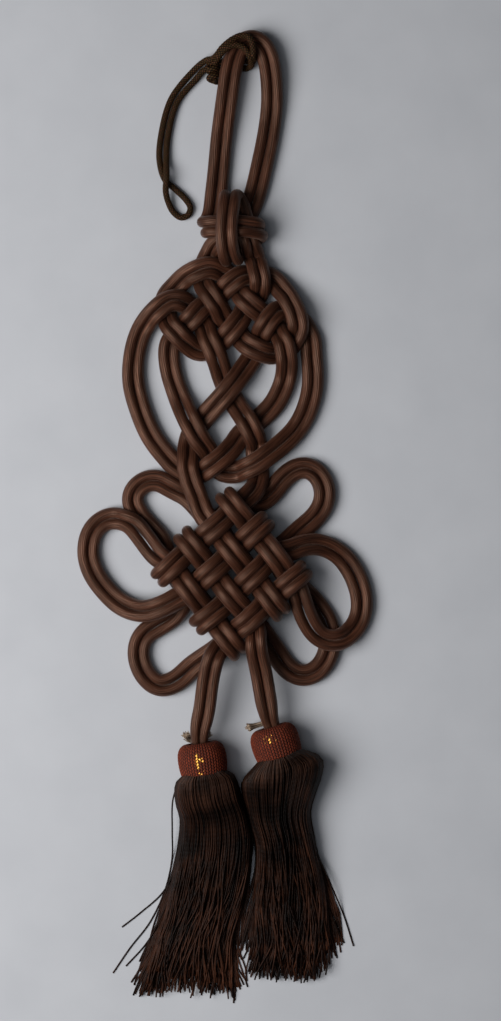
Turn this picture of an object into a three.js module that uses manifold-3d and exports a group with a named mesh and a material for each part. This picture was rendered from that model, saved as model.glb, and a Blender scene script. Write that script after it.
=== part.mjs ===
// A knotted satin-cord hanging with two thread tassels, lying flat on a surface.
// The surface is z = 0, +Y points to the hanging loop and +X to the right. Millimetres.

import * as THREE from 'three';
import Module from 'manifold-3d';
import { mergeVertices } from 'three/addons/utils/BufferGeometryUtils.js';

const wasm = await Module();
wasm.setup();

// Driving dimensions
const PHOTO_SCALE = 0.45;                        // millimetres to one pixel of the photograph
const PHOTO_ORIGIN = { x: 224.5, y: 513.78 };    // the pixel that lies over the part's origin
const CORD = 4.9;                                // satin cord diameter
const CORD_SIDES = 5;
const CORD_SECTION = 4.65;                       // across the corners of a cord's modelled section
const PAIR_PITCH = 4.95;                         // between the two cords of the doubled cord
const STEEPEST_LEVEL = 0.35;                     // a pair lies side by side unless it runs steeper than this
const PAIR_EASE = 0.5;                           // how fast a pair turns to lie side by side again
const HANGER = 2.9;                              // thin braided cord diameter
const TIE = 2.3;                                 // cut tie cord diameter
const GAP = 0.3;                                 // between pieces that meet
const CAP_RADIUS = 11;
const CAP_LENGTH = 14;

const CROSSING_HALF = 0.72 * PAIR_PITCH;         // a cord stays level this far each way at a crossing

// Heights of a cord's centre in cord diameters. The endless knot is four cords thick: a line's front
// pass lies over its back pass, and the line that encloses the other has the outer pass of each.
const LEVEL = { floor: 0.5, over: 1.5, innerBack: 1.5, innerFront: 2.5, outerFront: 3.5 };

// Settling of the cords, so that they touch and don't press into each other
const POINT_STEP = 1.3;                          // spacing of a cord's points while it settles
const SETTLE_ROUNDS = 110;
const SETTLE_SMOOTH = 0.25;                      // share of the way to the middle of the two next points
const SETTLE_HOME = 0.05;                        // share of the way back to where the point began
const SETTLE_GRID = CORD;
const ARC_DIVISIONS = 8000;                      // how finely the route's length is measured

const PLUG_WIDTH = 2.2;                          // of the small plugs that bind the cords at crossings
const MERGE_DISTANCE = 1e-4;                     // corners closer than this are one corner

function place(photoX, photoY, z) {
  return new THREE.Vector3(
    (photoX - PHOTO_ORIGIN.x) * PHOTO_SCALE,
    (PHOTO_ORIGIN.y - photoY) * PHOTO_SCALE,
    z,
  );
}

// Crossings of the oval knot, in rows from its crown to its foot: photo x, photo y
const OVAL_CROSSING = {
  crownLeft: [204.5, 268],
  crownMiddle: [234, 282],
  crownRight: [258, 277],
  upperLeft: [212, 301],
  shoulderLeft: [166, 304],
  upperMiddle: [249, 305],
  shoulderRight: [297.5, 320],
  innerLeft: [197, 315],
  innerRight: [268, 320],
  heart: [233, 330],
  flankLeft: [178.5, 333.5],
  heartLeft: [211.5, 348],
  heartRight: [256, 350],
  flankRight: [285, 348.5],
  waist: [229, 389],
  lowerLeft: [194, 430],
  lowerRight: [251, 428],
  footRight: [259, 462],
  footMiddle: [215, 464.5],
  footLeft: [190, 474],
};

// Bends of the oval knot's strands between its crossings: photo x, photo y, and the height in cord
// diameters where it isn't on the surface
const OVAL_BEND = {
  exitLeft: [212, 253],
  crownUnder: [202, 281],
  rightEyeLow: [295, 334.5, 1.2],
  rightEyeHigh: [287.5, 294, 1.0],
  crownHollow: [272, 281],
  innerLeftHigh: [170, 346],
  innerLeftMid: [171, 369],
  innerLeftLow: [179, 397],
  footTurnLeft: [225, 473.5],
  footTurnRight: [238, 473.5],
  outerRightLow: [299, 428],
  outerRightMid: [312.5, 388],
  outerRightHigh: [310, 352],
  outerRightTop: [307, 338],
  innerRightArch: [282.5, 309],
  footLeftHigh: [189, 446],
  footLeftLow: [196, 492, 1.75],
  entryLeft: [205, 517, 2.4],
  exitRight: [256, 262],
  crownRightLow: [257, 293],
  heartLeftHigh: [199, 353],
  outerLeftEye: [169.5, 320],
  outerLeftEyeHigh: [174.5, 289.5],
  crownRise: [182.5, 279.5, 0.7],
  crownTop: [216, 269.5, 1.2],
  crownTopRight: [223.5, 276, 0.75],
  innerRightTop: [277, 334],
  innerRightMid: [286, 378],
  innerRightLow: [273, 406],
  footMiddleHigh: [241, 440],
  outerLeftLow: [176, 467],
  outerLeftFoot: [153, 439],
  outerLeftMid: [139, 402],
  outerLeftHigh: [134, 370],
  outerLeftTop: [142, 331.5],
  innerLeftArch: [183, 302.5, 1.5],
  waistLow: [236, 403],
  footRightHigh: [256, 440],
  entryRight: [256, 488, 1.3],
};

// Each strand of the oval knot passes its crossings over and under in turn.
const LEFT_OVAL_STRAND = [
  'exitLeft', 'crownLeft', 'crownUnder', 'upperLeft', 'heart', 'heartRight', 'flankRight', 'rightEyeLow',
  'shoulderRight', 'rightEyeHigh', 'crownHollow', 'crownRight', 'crownMiddle', 'upperLeft', 'innerLeft',
  'flankLeft', 'innerLeftHigh', 'innerLeftMid', 'innerLeftLow', 'lowerLeft', 'footMiddle',
  'footTurnLeft', 'footTurnRight', 'footRight', 'outerRightLow', 'outerRightMid', 'outerRightHigh',
  'outerRightTop', 'shoulderRight', 'innerRightArch', 'innerRight', 'heartRight', 'waist', 'lowerLeft',
  'footLeftHigh', 'footLeft', 'footLeftLow', 'entryLeft',
];
const RIGHT_OVAL_STRAND = [
  'exitRight', 'crownRight', 'crownRightLow', 'upperMiddle', 'heart', 'heartLeft', 'heartLeftHigh',
  'flankLeft', 'outerLeftEye', 'shoulderLeft', 'outerLeftEyeHigh', 'crownRise', 'crownLeft', 'crownTop',
  'crownTopRight', 'crownMiddle', 'upperMiddle', 'innerRight', 'innerRightTop', 'flankRight',
  'innerRightMid', 'innerRightLow', 'lowerRight', 'footMiddleHigh', 'footMiddle', 'footLeft',
  'outerLeftLow', 'outerLeftFoot', 'outerLeftMid', 'outerLeftHigh', 'outerLeftTop', 'shoulderLeft',
  'innerLeftArch', 'innerLeft', 'heartLeft', 'waist', 'waistLow', 'lowerRight', 'footRightHigh',
  'footRight', 'entryRight',
];

// Crossings where the cords are bound together
const BOUND_CROSSINGS = [
  'crownLeft', 'crownRight', 'shoulderLeft', 'shoulderRight', 'heart', 'waist', 'footRight', 'footLeft',
  'lattice11', 'lattice14', 'lattice41', 'lattice44',
];

// The endless knot's woven body: four lines of each kind, spaced along the other kind's lines
const LATTICE = {
  centre: [232.3, 573.2],
  lines: 4,
  alongA: [19.0, 24.2],                          // photo pixels from one B line to the next
  alongB: [21.0, -19.6],                         // photo pixels from one A line to the next
  foldReach: 7.0,                                // millimetres from the last crossing to a fold's tip
};
// Points of a fold: share of its reach, and height from the body's middle in cord diameters
const FOLD_SHAPE = [[0.72, -1.15], [1, 0], [0.72, 1.15]];

// Points between the knots: photo x, photo y, height in cord diameters
const TOP_LOOP = [
  [214, 204, 0.5], [218, 172, 0.5], [222, 136, 0.7], [229, 88, 1.1], [233, 66, 1.2], [239, 49.5, 1.2],
  [251.5, 42, 1.2], [263.5, 49.5, 1.2], [269.5, 64, 1.15], [272.5, 84, 0.95], [272.5, 127, 0.5],
  [264, 171, 0.5], [253, 204, 0.5],
];
const NECK_LEFT = [
  [213, 214, 0.55], [208, 226, 0.6], [202, 229.5, 1.3], [205, 228.5, 2.3], [214, 228, 2.5],
  [240, 228, 2.5], [254, 229, 2.4], [261, 232, 1.5], [256, 235, 0.6], [249, 236, 0.5], [238, 239, 1.5],
  [227, 241, 1.4], [216, 246, 1.0],
];
const NECK_RIGHT = [
  [246, 216, 0.5], [239, 232, 0.5], [234, 249, 0.6], [231, 259, 1.7], [228.5, 253, 3.1], [227, 241, 3.5],
  [227, 222, 3.5], [228.5, 208, 3.45], [229.5, 199, 3.1], [230, 196, 2.3], [233, 199.5, 1.5],
  [239, 206, 1.4], [242, 217, 1.5], [245.5, 232, 1.5],
  [250.5, 246, 1.3],
];
const PETAL = {
  upperLeft: [
    [184, 494, 0.7], [166, 483, 0.55], [151, 480, 0.5], [139, 485.5, 0.5], [132, 496, 0.5],
    [134, 509, 0.5], [149, 526, 0.5], [163, 542, 0.7],
  ],
  left: [
    [160, 556, 2.6], [146, 538, 1.9], [131, 521, 1.1], [118, 517, 0.6], [104, 519.5, 0.5],
    [92.5, 531, 0.5], [88, 550, 0.5], [92, 569, 0.5], [104.5, 589, 0.5], [120, 605, 0.7],
    [140.5, 612, 1.6], [160, 607, 2.6],
  ],
  lowerLeft: [
    [177, 614, 0.8], [160, 624, 0.5], [146, 631.5, 0.5], [139, 644, 0.5], [139, 659, 0.5],
    [146, 675, 0.5], [160, 686, 0.5], [178, 681, 0.5], [194, 665, 0.6],
  ],
  upperRight: [
    [263, 499, 0.8], [279, 481.5, 0.5], [291, 470, 0.5], [305, 465.5, 0.5], [318, 472, 0.5],
    [325.5, 486, 0.5], [325.5, 500, 0.5], [318, 514, 0.5], [303, 527.5, 0.7],
  ],
  right: [
    [285, 552, 2.6], [303, 545.5, 1.8], [323, 546, 0.9], [342, 556.5, 0.5], [355, 576, 0.5],
    [361, 597, 0.5], [360, 615, 0.5], [351, 631.5, 0.8], [335, 640.5, 1.5], [320, 636, 1.6],
    [308, 619, 2.0],
  ],
  lowerRight: [
    [313, 602, 0.5], [323.5, 619, 0.5], [329.5, 637, 0.5], [328.5, 654, 0.5], [322.5, 667, 0.5],
    [312.5, 675, 0.5], [301, 676, 0.5], [288.5, 668.5, 0.5], [276, 652, 0.6],
  ],
};
const LEG_LEFT = [[216, 652, 3.4], [206.5, 681, 2.9], [200.5, 711, 2.6], [199, 731, 2.4]];
const LEG_RIGHT = [[254, 638, 3.4], [260.5, 668, 2.8], [265, 697, 2.5], [268, 716, 2.4]];

// Caps: the middle of each, and its turn from straight down, in degrees
const CAPS = {
  left: { centre: [202.5, 756.5], turn: 8 },
  right: { centre: [275, 740], turn: 17 },
};
const CAP_SEGMENTS = 20;
const CAP_WALL = 1.3;
const CAP_MOUTH = 5.6;                           // radius of the hole where the cords go in
const CAP_SHOULDER = { radius: 8.8, depth: 0.3 };
const CAP_BARREL = { from: 4.4, to: 9.6 };       // the straight part, measured from the cap's top
const CAP_END_RADIUS = 10.2;
const CAP_FLAT = CAP_RADIUS * Math.cos(Math.PI / CAP_SEGMENTS);
const CORD_IN_CAP = 2.6;                         // how far the cord ends reach into a cap
const HEAD_TOP = 4.2;                            // from a cap's top to the tassel head in it
const HEAD_BOTTOM = CAP_LENGTH + 1;              // from a cap's top to the underside of the head
const HEAD_RADIUS = CAP_RADIUS - CAP_WALL - 5 * GAP;
const HEAD_SHOULDER = 2;                         // bevel at the head's top
const HEAD_EDGE = 0.6;                           // and at its underside
const HEAD_SEGMENTS = 16;
const ROOT_RADIUS = HEAD_RADIUS - 1.2;           // of the round bunch of roots in the head
const ROOT_DEPTH = 0.7;                          // how far the locks reach into the head

// Skirts: stations from the head down: photo x, photo y, half width mm, lowest z mm, height mm
const SKIRT_STATIONS = {
  left: [
    [206, 784, 14.3, 0, 19.5], [216, 835, 15.8, 0, 12.5], [205, 905, 16.9, 0, 8.2],
    [184.5, 994, 20.6, 0, 5.2],
  ],
  right: [
    [283, 769, 18.4, 0, 19.5], [282, 816, 13.2, 0, 13.5], [290.5, 900, 16.6, 0, 8.2],
    [285, 972, 21.5, 0, 5.2],
  ],
};
const LOCK_ROWS = 6;
const LOCKS_IN_WIDEST_ROW = 11;
const LOCK_FILL = 0.78;                          // how much of its cell a lock takes up
const LOCK_SIDES = 3;
const ROW_ROUNDNESS = 0.75;                      // 0 makes the bunch square at the head, 1 makes it round
const END_RAGGED = 7;                            // how much shorter a lock's end may be, mm
const NOISE = { frequency: 127.1, phase: 311.7, spread: 43758.5453 };

// The hanger's hitch goes twice round the top loop's left limb: photo x, photo y, z in mm
const HITCH_ROUTES = {
  outer: [
    [206.8, 62.4, 4.8], [210, 61.4, 5.8], [213.5, 60.4, 7.2], [217.5, 57, 8.8], [221.5, 51.8, 9.8],
    [227, 46.5, 10.4], [233.5, 42, 10.5], [240.5, 39, 10.5], [247.5, 39.5, 10.6], [251.5, 44.5, 10.8],
    [253, 51.5, 10.8], [253, 58.6, 9.6], [253.2, 62.5, 5], [248.5, 62, 2], [241, 61, 1.6],
    [232, 61, 1.6], [222, 63, 2], [214, 66.5, 3.6],
  ],
  inner: [
    [214.5, 65, 5.5], [218.5, 59.5, 8.4], [224, 53.5, 10], [231, 49, 10.5], [238.5, 48.5, 10.5],
    [245.5, 52.5, 10.4], [250.4, 60, 9.2], [251.2, 66.8, 4.6], [246.8, 69, 1.9], [238, 69, 1.6],
    [228, 70, 1.6], [220, 72.5, 2.2], [214, 76, 3.6],
  ],
};
const KNOT_CENTRE = [213, 72];
const KNOT_TURNS = 3;
const KNOT_STEPS = 7;                            // straight steps to a turn
const KNOT_PITCH = 3.25;
const KNOT_RADIUS = 1.7;
const HANGER_SIDES = 6;
const HANGER_STEP = 5.5;
const TIE_SIDES = 6;
const TIE_STEP = 3;

// The free hanger, out from the knot, round its end loop and back: photo x, photo y, z in mm
const HANGER_ROUTE = [
  [203.6, 63.2, 3.8], [194.4, 70.5, 2.0], [171.5, 99.1, 1.6], [161.1, 136.4, 1.6], [159.6, 161, 1.6],
  [165, 180, 1.6], [174.5, 189, 1.6], [186, 200.5, 1.6], [190.5, 211, 1.6], [181, 218.5, 1.7],
  [170, 207.5, 2.3], [166, 192, 4.4], [166.8, 178, 4.9], [166.4, 161, 2.3], [167.8, 137.6, 1.7],
  [177.5, 102.3, 1.6], [196.4, 79.4, 1.7], [202.8, 72, 3.2],
];

// Cut ends of the ties, each passing under its leg: photo x, photo y, z in mm
const TIE_ROUTE = {
  left: [[183.5, 735.5, 7.6], [188.5, 737.5, 5.2], [197.5, 737, 4.4], [206, 735.5, 5.4], [210.5, 732, 8]],
  right: [[248.5, 726, 7.6], [255, 725, 5.2], [264, 722.5, 4.4], [273, 719, 5.6], [277, 715, 8]],
};

const COLOUR = {
  satin: 0x4b3228,
  hanger: 0x3c2d1e,
  cap: 0x6e2d19,
  thread: 0x2d1c16,
  tie: 0x9a8672,
};

function satinLevel(point) {
  return place(point[0], point[1], point[2] * CORD);
}

// The oval knot's routes: every crossing is a point held level across the other pair
function ovalRoute(names, firstIsOver) {
  let over = firstIsOver;
  return names.map((name) => {
    if (!(name in OVAL_CROSSING)) {
      const [x, y, level = LEVEL.floor] = OVAL_BEND[name];
      return { at: satinLevel([x, y, level]) };
    }
    const level = over ? LEVEL.over : LEVEL.floor;
    over = !over;
    return { at: satinLevel([...OVAL_CROSSING[name], level]), crossing: name };
  });
}

// The endless knot
function latticePoint(a, b, level) {
  const middle = (LATTICE.lines + 1) / 2;
  const x = LATTICE.centre[0] + (b - middle) * LATTICE.alongA[0] + (a - middle) * LATTICE.alongB[0];
  const y = LATTICE.centre[1] + (b - middle) * LATTICE.alongA[1] + (a - middle) * LATTICE.alongB[1];
  return satinLevel([x, y, level]);
}

function passLevel(kind, a, b, face) {
  const encloses = (a + b) % 2 === (kind === 'A' ? 1 : 0);
  if (face === 'front') {
    return encloses ? LEVEL.outerFront : LEVEL.innerFront;
  }
  return encloses ? LEVEL.floor : LEVEL.innerBack;
}

function latticePass(kind, index, face, rising) {
  const points = [];
  for (let count = 1; count <= LATTICE.lines; count += 1) {
    const other = rising ? count : LATTICE.lines + 1 - count;
    const a = kind === 'A' ? index : other;
    const b = kind === 'A' ? other : index;
    const at = latticePoint(a, b, passLevel(kind, a, b, face));
    points.push({ at, crossing: `lattice${a}${b}` });
  }
  return points;
}

// A fold runs past the last crossing, round the outermost line and back on the other face
function latticeFold(pass) {
  const last = pass[pass.length - 1].at;
  const before = pass[pass.length - 2].at;
  const outward = last.clone().sub(before).setZ(0).normalize();
  const middle = (LEVEL.outerFront + LEVEL.floor) / 2;
  const toFront = last.z / CORD < middle ? 1 : -1;
  return FOLD_SHAPE.map(([reach, rise]) => {
    const at = last.clone().addScaledVector(outward, reach * LATTICE.foldReach);
    at.z = (middle + toFront * rise) * CORD;
    return { at };
  });
}

function bight(kind, index, firstFace, rising) {
  const secondFace = firstFace === 'front' ? 'back' : 'front';
  const out = latticePass(kind, index, firstFace, rising);
  const back = latticePass(kind, index, secondFace, !rising);
  return [...out, ...latticeFold(out), ...back];
}

function bends(points) {
  return points.map((point) => ({ at: satinLevel(point) }));
}

function capFrame(cap) {
  const turn = THREE.MathUtils.degToRad(cap.turn);
  const down = new THREE.Vector3(Math.sin(turn), -Math.cos(turn), 0);
  const middle = place(cap.centre[0], cap.centre[1], CAP_FLAT);
  const top = middle.clone().addScaledVector(down, -CAP_LENGTH / 2);
  return { turn, down, top };
}

function capEntry(cap) {
  const { down, top } = capFrame(cap);
  return [{ at: top.clone().addScaledVector(down, -1) },
    { at: top.clone().addScaledVector(down, CORD_IN_CAP) }];
}

// The doubled cord's whole way, from the left cap over the top loop to the right cap
function cordRoute() {
  const leftHalf = [
    ...bends(NECK_LEFT),
    ...ovalRoute(LEFT_OVAL_STRAND, false),
    ...bight('A', 3, 'front', true),
    ...bends(PETAL.upperLeft),
    ...bight('A', 1, 'back', true),
    ...bends(PETAL.left),
    ...bight('B', 2, 'front', true),
    ...bends(PETAL.lowerLeft),
    ...bight('B', 4, 'back', true),
    ...bends(LEG_LEFT),
    ...capEntry(CAPS.left),
  ];
  const rightHalf = [
    ...bends(NECK_RIGHT),
    ...ovalRoute(RIGHT_OVAL_STRAND, true),
    ...bight('B', 1, 'front', false),
    ...bends(PETAL.upperRight),
    ...bight('B', 3, 'back', false),
    ...bends(PETAL.right),
    ...bight('A', 4, 'front', false),
    ...bends(PETAL.lowerRight),
    ...bight('A', 2, 'back', false),
    ...bends(LEG_RIGHT),
    ...capEntry(CAPS.right),
  ];
  return [...leftHalf.reverse(), ...bends(TOP_LOOP), ...rightHalf];
}

// A crossing is two route points, so that the cord stays level where the other pair's cords pass
function levelCrossings(route) {
  return route.flatMap((stop, index) => {
    if (!stop.crossing) {
      return [stop];
    }
    const before = route[index - 1].at;
    const after = route[index + 1].at;
    const along = after.clone().sub(before).setZ(0).normalize().multiplyScalar(CROSSING_HALF);
    return [
      { at: stop.at.clone().sub(along) },
      { at: stop.at.clone().add(along), crossing: stop.crossing },
    ];
  });
}

// The two cords lie side by side, across the way they run
function pairFrom(curve, count) {
  const up = new THREE.Vector3(0, 0, 1);
  const pair = [[], []];
  const side = new THREE.Vector3(1, 0, 0);
  for (let index = 0; index <= count; index += 1) {
    const centre = curve.getPointAt(index / count);
    const tangent = curve.getTangentAt(index / count);
    const across = new THREE.Vector3().crossVectors(up, tangent);
    const steep = across.length() < STEEPEST_LEVEL;
    const wanted = steep ? side.clone() : across.normalize();
    if (wanted.dot(side) < 0) {
      wanted.negate();
    }
    wanted.addScaledVector(tangent, -wanted.dot(tangent)).normalize();
    side.lerp(wanted, index === 0 ? 1 : PAIR_EASE).normalize();
    pair[0].push(centre.clone().addScaledVector(side, PAIR_PITCH / 2));
    pair[1].push(centre.clone().addScaledVector(side, -PAIR_PITCH / 2));
  }
  return pair;
}

// Neighbouring points of different stretches, found through a grid of cells
function gridKey(point) {
  return point.toArray().map((value) => Math.floor(value / SETTLE_GRID));
}

function pushApart(points, chainOf, indexOf) {
  const cells = new Map();
  points.forEach((point, number) => {
    const key = gridKey(point).join();
    if (!cells.has(key)) {
      cells.set(key, []);
    }
    cells.get(key).push(number);
  });
  const sameStretch = Math.ceil((1.7 * CORD) / POINT_STEP);
  const moves = points.map(() => new THREE.Vector3());
  const counts = new Array(points.length).fill(0);
  const between = new THREE.Vector3();
  points.forEach((point, number) => {
    const [cellX, cellY, cellZ] = gridKey(point);
    for (let step = 0; step < 27; step += 1) {
      const key = [cellX + (step % 3) - 1, cellY + (Math.floor(step / 3) % 3) - 1,
        cellZ + Math.floor(step / 9) - 1].join();
      for (const other of cells.get(key) ?? []) {
        const near = chainOf[number] === chainOf[other]
          && Math.abs(indexOf[number] - indexOf[other]) < sameStretch;
        between.subVectors(point, points[other]);
        const distance = between.length();
        if (other !== number && !near && distance < CORD && distance > 0) {
          moves[number].addScaledVector(between, (0.5 * (CORD - distance)) / distance);
          counts[number] += 1;
        }
      }
    }
  });
  points.forEach((point, number) => {
    if (counts[number] > 0) {
      point.addScaledVector(moves[number], 1 / Math.sqrt(counts[number]));
    }
  });
}

function settle(pair) {
  const points = pair.flat();
  const chainOf = pair.flatMap((chain, number) => chain.map(() => number));
  const indexOf = pair.flatMap((chain) => chain.map((point, index) => index));
  const home = points.map((point) => point.clone());
  for (let round = 0; round < SETTLE_ROUNDS; round += 1) {
    for (const chain of pair) {
      const middles = chain.map((point, index) => {
        const before = chain[Math.max(index - 1, 0)];
        const after = chain[Math.min(index + 1, chain.length - 1)];
        return before.clone().add(after).multiplyScalar(0.5);
      });
      chain.forEach((point, index) => {
        if (index > 0 && index < chain.length - 1) {
          point.lerp(middles[index], SETTLE_SMOOTH);
        }
      });
    }
    points.forEach((point, number) => point.lerp(home[number], SETTLE_HOME));
    pushApart(points, chainOf, indexOf);
    points.forEach((point) => {
      point.z = Math.max(point.z, CORD / 2);
    });
  }
}

// Solids
function toManifold(geometry) {
  const bare = geometry.clone();
  bare.deleteAttribute('normal');
  bare.deleteAttribute('uv');
  const merged = mergeVertices(bare, MERGE_DISTANCE);
  const triVerts = Uint32Array.from(merged.index.array);
  const vertProperties = Float32Array.from(merged.attributes.position.array);
  const solid = new wasm.Manifold(new wasm.Mesh({ numProp: 3, vertProperties, triVerts }));
  if (solid.volume() > 0) {
    return solid;
  }
  triVerts.reverse();
  return new wasm.Manifold(new wasm.Mesh({ numProp: 3, vertProperties, triVerts }));
}

function toGeometry(solid) {
  const mesh = solid.getMesh();
  const geometry = new THREE.BufferGeometry();
  geometry.setAttribute('position', new THREE.BufferAttribute(mesh.vertProperties, 3));
  geometry.setIndex(new THREE.BufferAttribute(mesh.triVerts, 1));
  geometry.computeVertexNormals();
  return geometry;
}

function joined(solids) {
  return solids.reduce((whole, solid) => whole.add(solid));
}

// A tube whose sections stand at the given points
class StationCurve extends THREE.CatmullRomCurve3 {
  getUtoTmapping(u) {
    return u;
  }
}

function regularShape(diameter, sides) {
  const corners = Array.from({ length: sides }, (unused, side) => {
    const angle = ((side + 0.5) / sides) * 2 * Math.PI;
    return new THREE.Vector2(Math.cos(angle), Math.sin(angle)).multiplyScalar(diameter / 2);
  });
  return new THREE.Shape(corners);
}

function tube(stations, diameter, sides) {
  const extrudePath = new StationCurve(stations, false, 'centripetal');
  const options = { steps: stations.length - 1, extrudePath, bevelEnabled: false };
  return new THREE.ExtrudeGeometry(regularShape(diameter, sides), options);
}

// Small plugs at the crossings' middles, where the cords are bound together
function crossingPlugs(pair, marks) {
  const passesAt = new Map();
  for (const { name, index } of marks) {
    const centre = pair[0][index].clone().add(pair[1][index]).multiplyScalar(0.5);
    const across = pair[1][index].clone().sub(pair[0][index]);
    passesAt.set(name, [...(passesAt.get(name) ?? []), { centre, turn: Math.atan2(across.y, across.x) }]);
  }
  return [...passesAt.values()].map((passes) => {
    const heights = passes.map((pass) => pass.centre.z);
    const low = Math.min(...heights);
    const high = Math.max(...heights);
    const middle = new THREE.Vector3();
    passes.forEach((pass) => middle.addScaledVector(pass.centre, 1 / passes.length));
    const plug = new THREE.BoxGeometry(PLUG_WIDTH, PLUG_WIDTH, high - low);
    plug.rotateZ(passes[0].turn);
    plug.translate(middle.x, middle.y, (low + high) / 2);
    return toManifold(plug);
  });
}

function knottedCord() {
  const route = levelCrossings(cordRoute());
  const curve = new THREE.CatmullRomCurve3(route.map((stop) => stop.at), false, 'centripetal');
  curve.arcLengthDivisions = ARC_DIVISIONS;
  const lengths = curve.getLengths();
  const total = curve.getLength();
  const count = Math.round(total / POINT_STEP);
  const pair = pairFrom(curve, count);
  settle(pair);
  const indexAt = (number) => {
    const travelled = lengths[Math.round((number / (route.length - 1)) * ARC_DIVISIONS)];
    return Math.round((travelled / total) * count);
  };
  const indices = route.map((stop, number) => indexAt(number));
  const marks = [];
  route.forEach((stop, number) => {
    if (BOUND_CROSSINGS.includes(stop.crossing)) {
      marks.push({ name: stop.crossing, index: Math.round((indices[number - 1] + indices[number]) / 2) });
    }
  });
  const cords = pair.map((chain) => {
    const stations = indices.map((index) => chain[index]);
    return toManifold(tube(stations, CORD_SECTION, CORD_SIDES));
  });
  return toGeometry(joined([...cords, ...crossingPlugs(pair, marks)]));
}

// The hanger
function thinTube(route, diameter, sides, step) {
  const curve = new THREE.CatmullRomCurve3(route.map((point) => place(...point)), false, 'centripetal');
  const steps = Math.max(2, Math.round(curve.getLength() / step));
  return tube(curve.getSpacedPoints(steps), diameter, sides);
}

function knotCoil() {
  const steps = KNOT_TURNS * KNOT_STEPS;
  const centre = place(...KNOT_CENTRE, HANGER / 2 + KNOT_RADIUS);
  return Array.from({ length: steps + 1 }, (unused, step) => {
    const angle = (step / KNOT_STEPS) * 2 * Math.PI;
    const rise = (0.5 - step / steps) * KNOT_TURNS * KNOT_PITCH;
    const out = new THREE.Vector3(KNOT_RADIUS * Math.cos(angle), rise, KNOT_RADIUS * Math.sin(angle));
    return out.add(centre);
  });
}

function hangerKnot() {
  const coil = tube(knotCoil(), HANGER, HANGER_SIDES);
  const wraps = Object.values(HITCH_ROUTES)
    .map((route) => thinTube(route, HANGER, HANGER_SIDES, HANGER_STEP));
  return toGeometry(joined([coil, ...wraps].map(toManifold)));
}

// Solids of revolution about the Y axis, from a profile of radius and depth below the top
function turned(profile, segments) {
  const half = Math.PI / segments;
  const points = profile.map(([radius, depth]) => new THREE.Vector2(radius, -depth));
  return new THREE.LatheGeometry(points, segments, half, 2 * Math.PI);
}

function capGeometry() {
  const inner = CAP_RADIUS - CAP_WALL;
  const profile = [
    [CAP_MOUTH, 0], [CAP_SHOULDER.radius, CAP_SHOULDER.depth], [CAP_RADIUS, CAP_BARREL.from],
    [CAP_RADIUS, CAP_BARREL.to], [CAP_END_RADIUS, CAP_LENGTH], [CAP_END_RADIUS - CAP_WALL, CAP_LENGTH],
    [inner, CAP_BARREL.to], [inner, CAP_BARREL.from], [CAP_SHOULDER.radius - CAP_WALL, CAP_WALL],
    [CAP_MOUTH, CAP_WALL], [CAP_MOUTH, 0],
  ];
  return toGeometry(toManifold(turned(profile, CAP_SEGMENTS)));
}

// Tassels: locks of thread in rows, each lock a three-sided prism that follows the skirt's stations
function noise(seed) {
  const wave = Math.sin(seed * NOISE.frequency + NOISE.phase) * NOISE.spread;
  return wave - Math.floor(wave);
}

function skirtStations(side) {
  const { turn, down, top } = capFrame(CAPS[side]);
  const across = new THREE.Vector3(Math.cos(turn), Math.sin(turn), 0);
  const rows = [{
    centre: top.clone().addScaledVector(down, HEAD_BOTTOM - ROOT_DEPTH).setZ(0),
    across,
    half: ROOT_RADIUS,
    low: CAP_FLAT - ROOT_RADIUS,
    height: 2 * ROOT_RADIUS,
    roundness: 1,
  }];
  SKIRT_STATIONS[side].forEach(([x, y, half, low, height], index) => {
    const share = 1 - (index + 1) / SKIRT_STATIONS[side].length;
    const sideways = across.clone().lerp(new THREE.Vector3(1, 0, 0), 1 - share).normalize();
    rows.push({ centre: place(x, y, 0), across: sideways, half, low, height, roundness: share });
  });
  return rows;
}

// How wide a row of locks is beside the widest row, where the bunch is round
function rowShare(row) {
  const fromMiddle = (2 * (row + 0.5)) / LOCK_ROWS - 1;
  return Math.sqrt(1 - ROW_ROUNDNESS * fromMiddle ** 2);
}

// A prism of radius 1 has its corners at x = 0 and plus or minus cos 30, and at z = 1 and -1/2.
function lock(stations, row, column, columns, short) {
  const steps = stations.length - 1;
  const geometry = new THREE.CylinderGeometry(1, 1, 1, LOCK_SIDES, steps);
  geometry.deleteAttribute('normal');
  geometry.deleteAttribute('uv');
  const prism = mergeVertices(geometry, MERGE_DISTANCE);
  const points = prism.attributes.position;
  const sideways = (2 * (column + 0.5)) / columns - 1;
  for (let index = 0; index < points.count; index += 1) {
    const level = Math.round((0.5 - points.getY(index)) * steps);
    const station = stations[level];
    const width = station.half * THREE.MathUtils.lerp(1, rowShare(row), station.roundness);
    const cell = { width: (2 * width) / columns, height: station.height / LOCK_ROWS };
    const corner = station.centre.clone().addScaledVector(station.across, sideways * width);
    if (level === steps) {
      const back = stations[level - 1].centre.clone().sub(station.centre).normalize();
      corner.addScaledVector(back, short);
    }
    const aside = points.getX(index) / Math.cos(Math.PI / 6);
    const rise = (points.getZ(index) + 0.5) / 1.5;
    corner.addScaledVector(station.across, (aside * cell.width * LOCK_FILL) / 2);
    corner.z = station.low + cell.height * (row + rise * LOCK_FILL);
    points.setXYZ(index, corner.x, corner.y, corner.z);
  }
  return toManifold(prism);
}

function skirtLocks(side) {
  const stations = skirtStations(side);
  const locks = [];
  for (let row = 0; row < LOCK_ROWS; row += 1) {
    const columns = Math.round(LOCKS_IN_WIDEST_ROW * rowShare(row));
    for (let column = 0; column < columns; column += 1) {
      const short = noise(locks.length + stations[0].half * CAPS[side].turn) * END_RAGGED;
      locks.push(lock(stations, row, column, columns, short));
    }
  }
  return locks;
}

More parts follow.
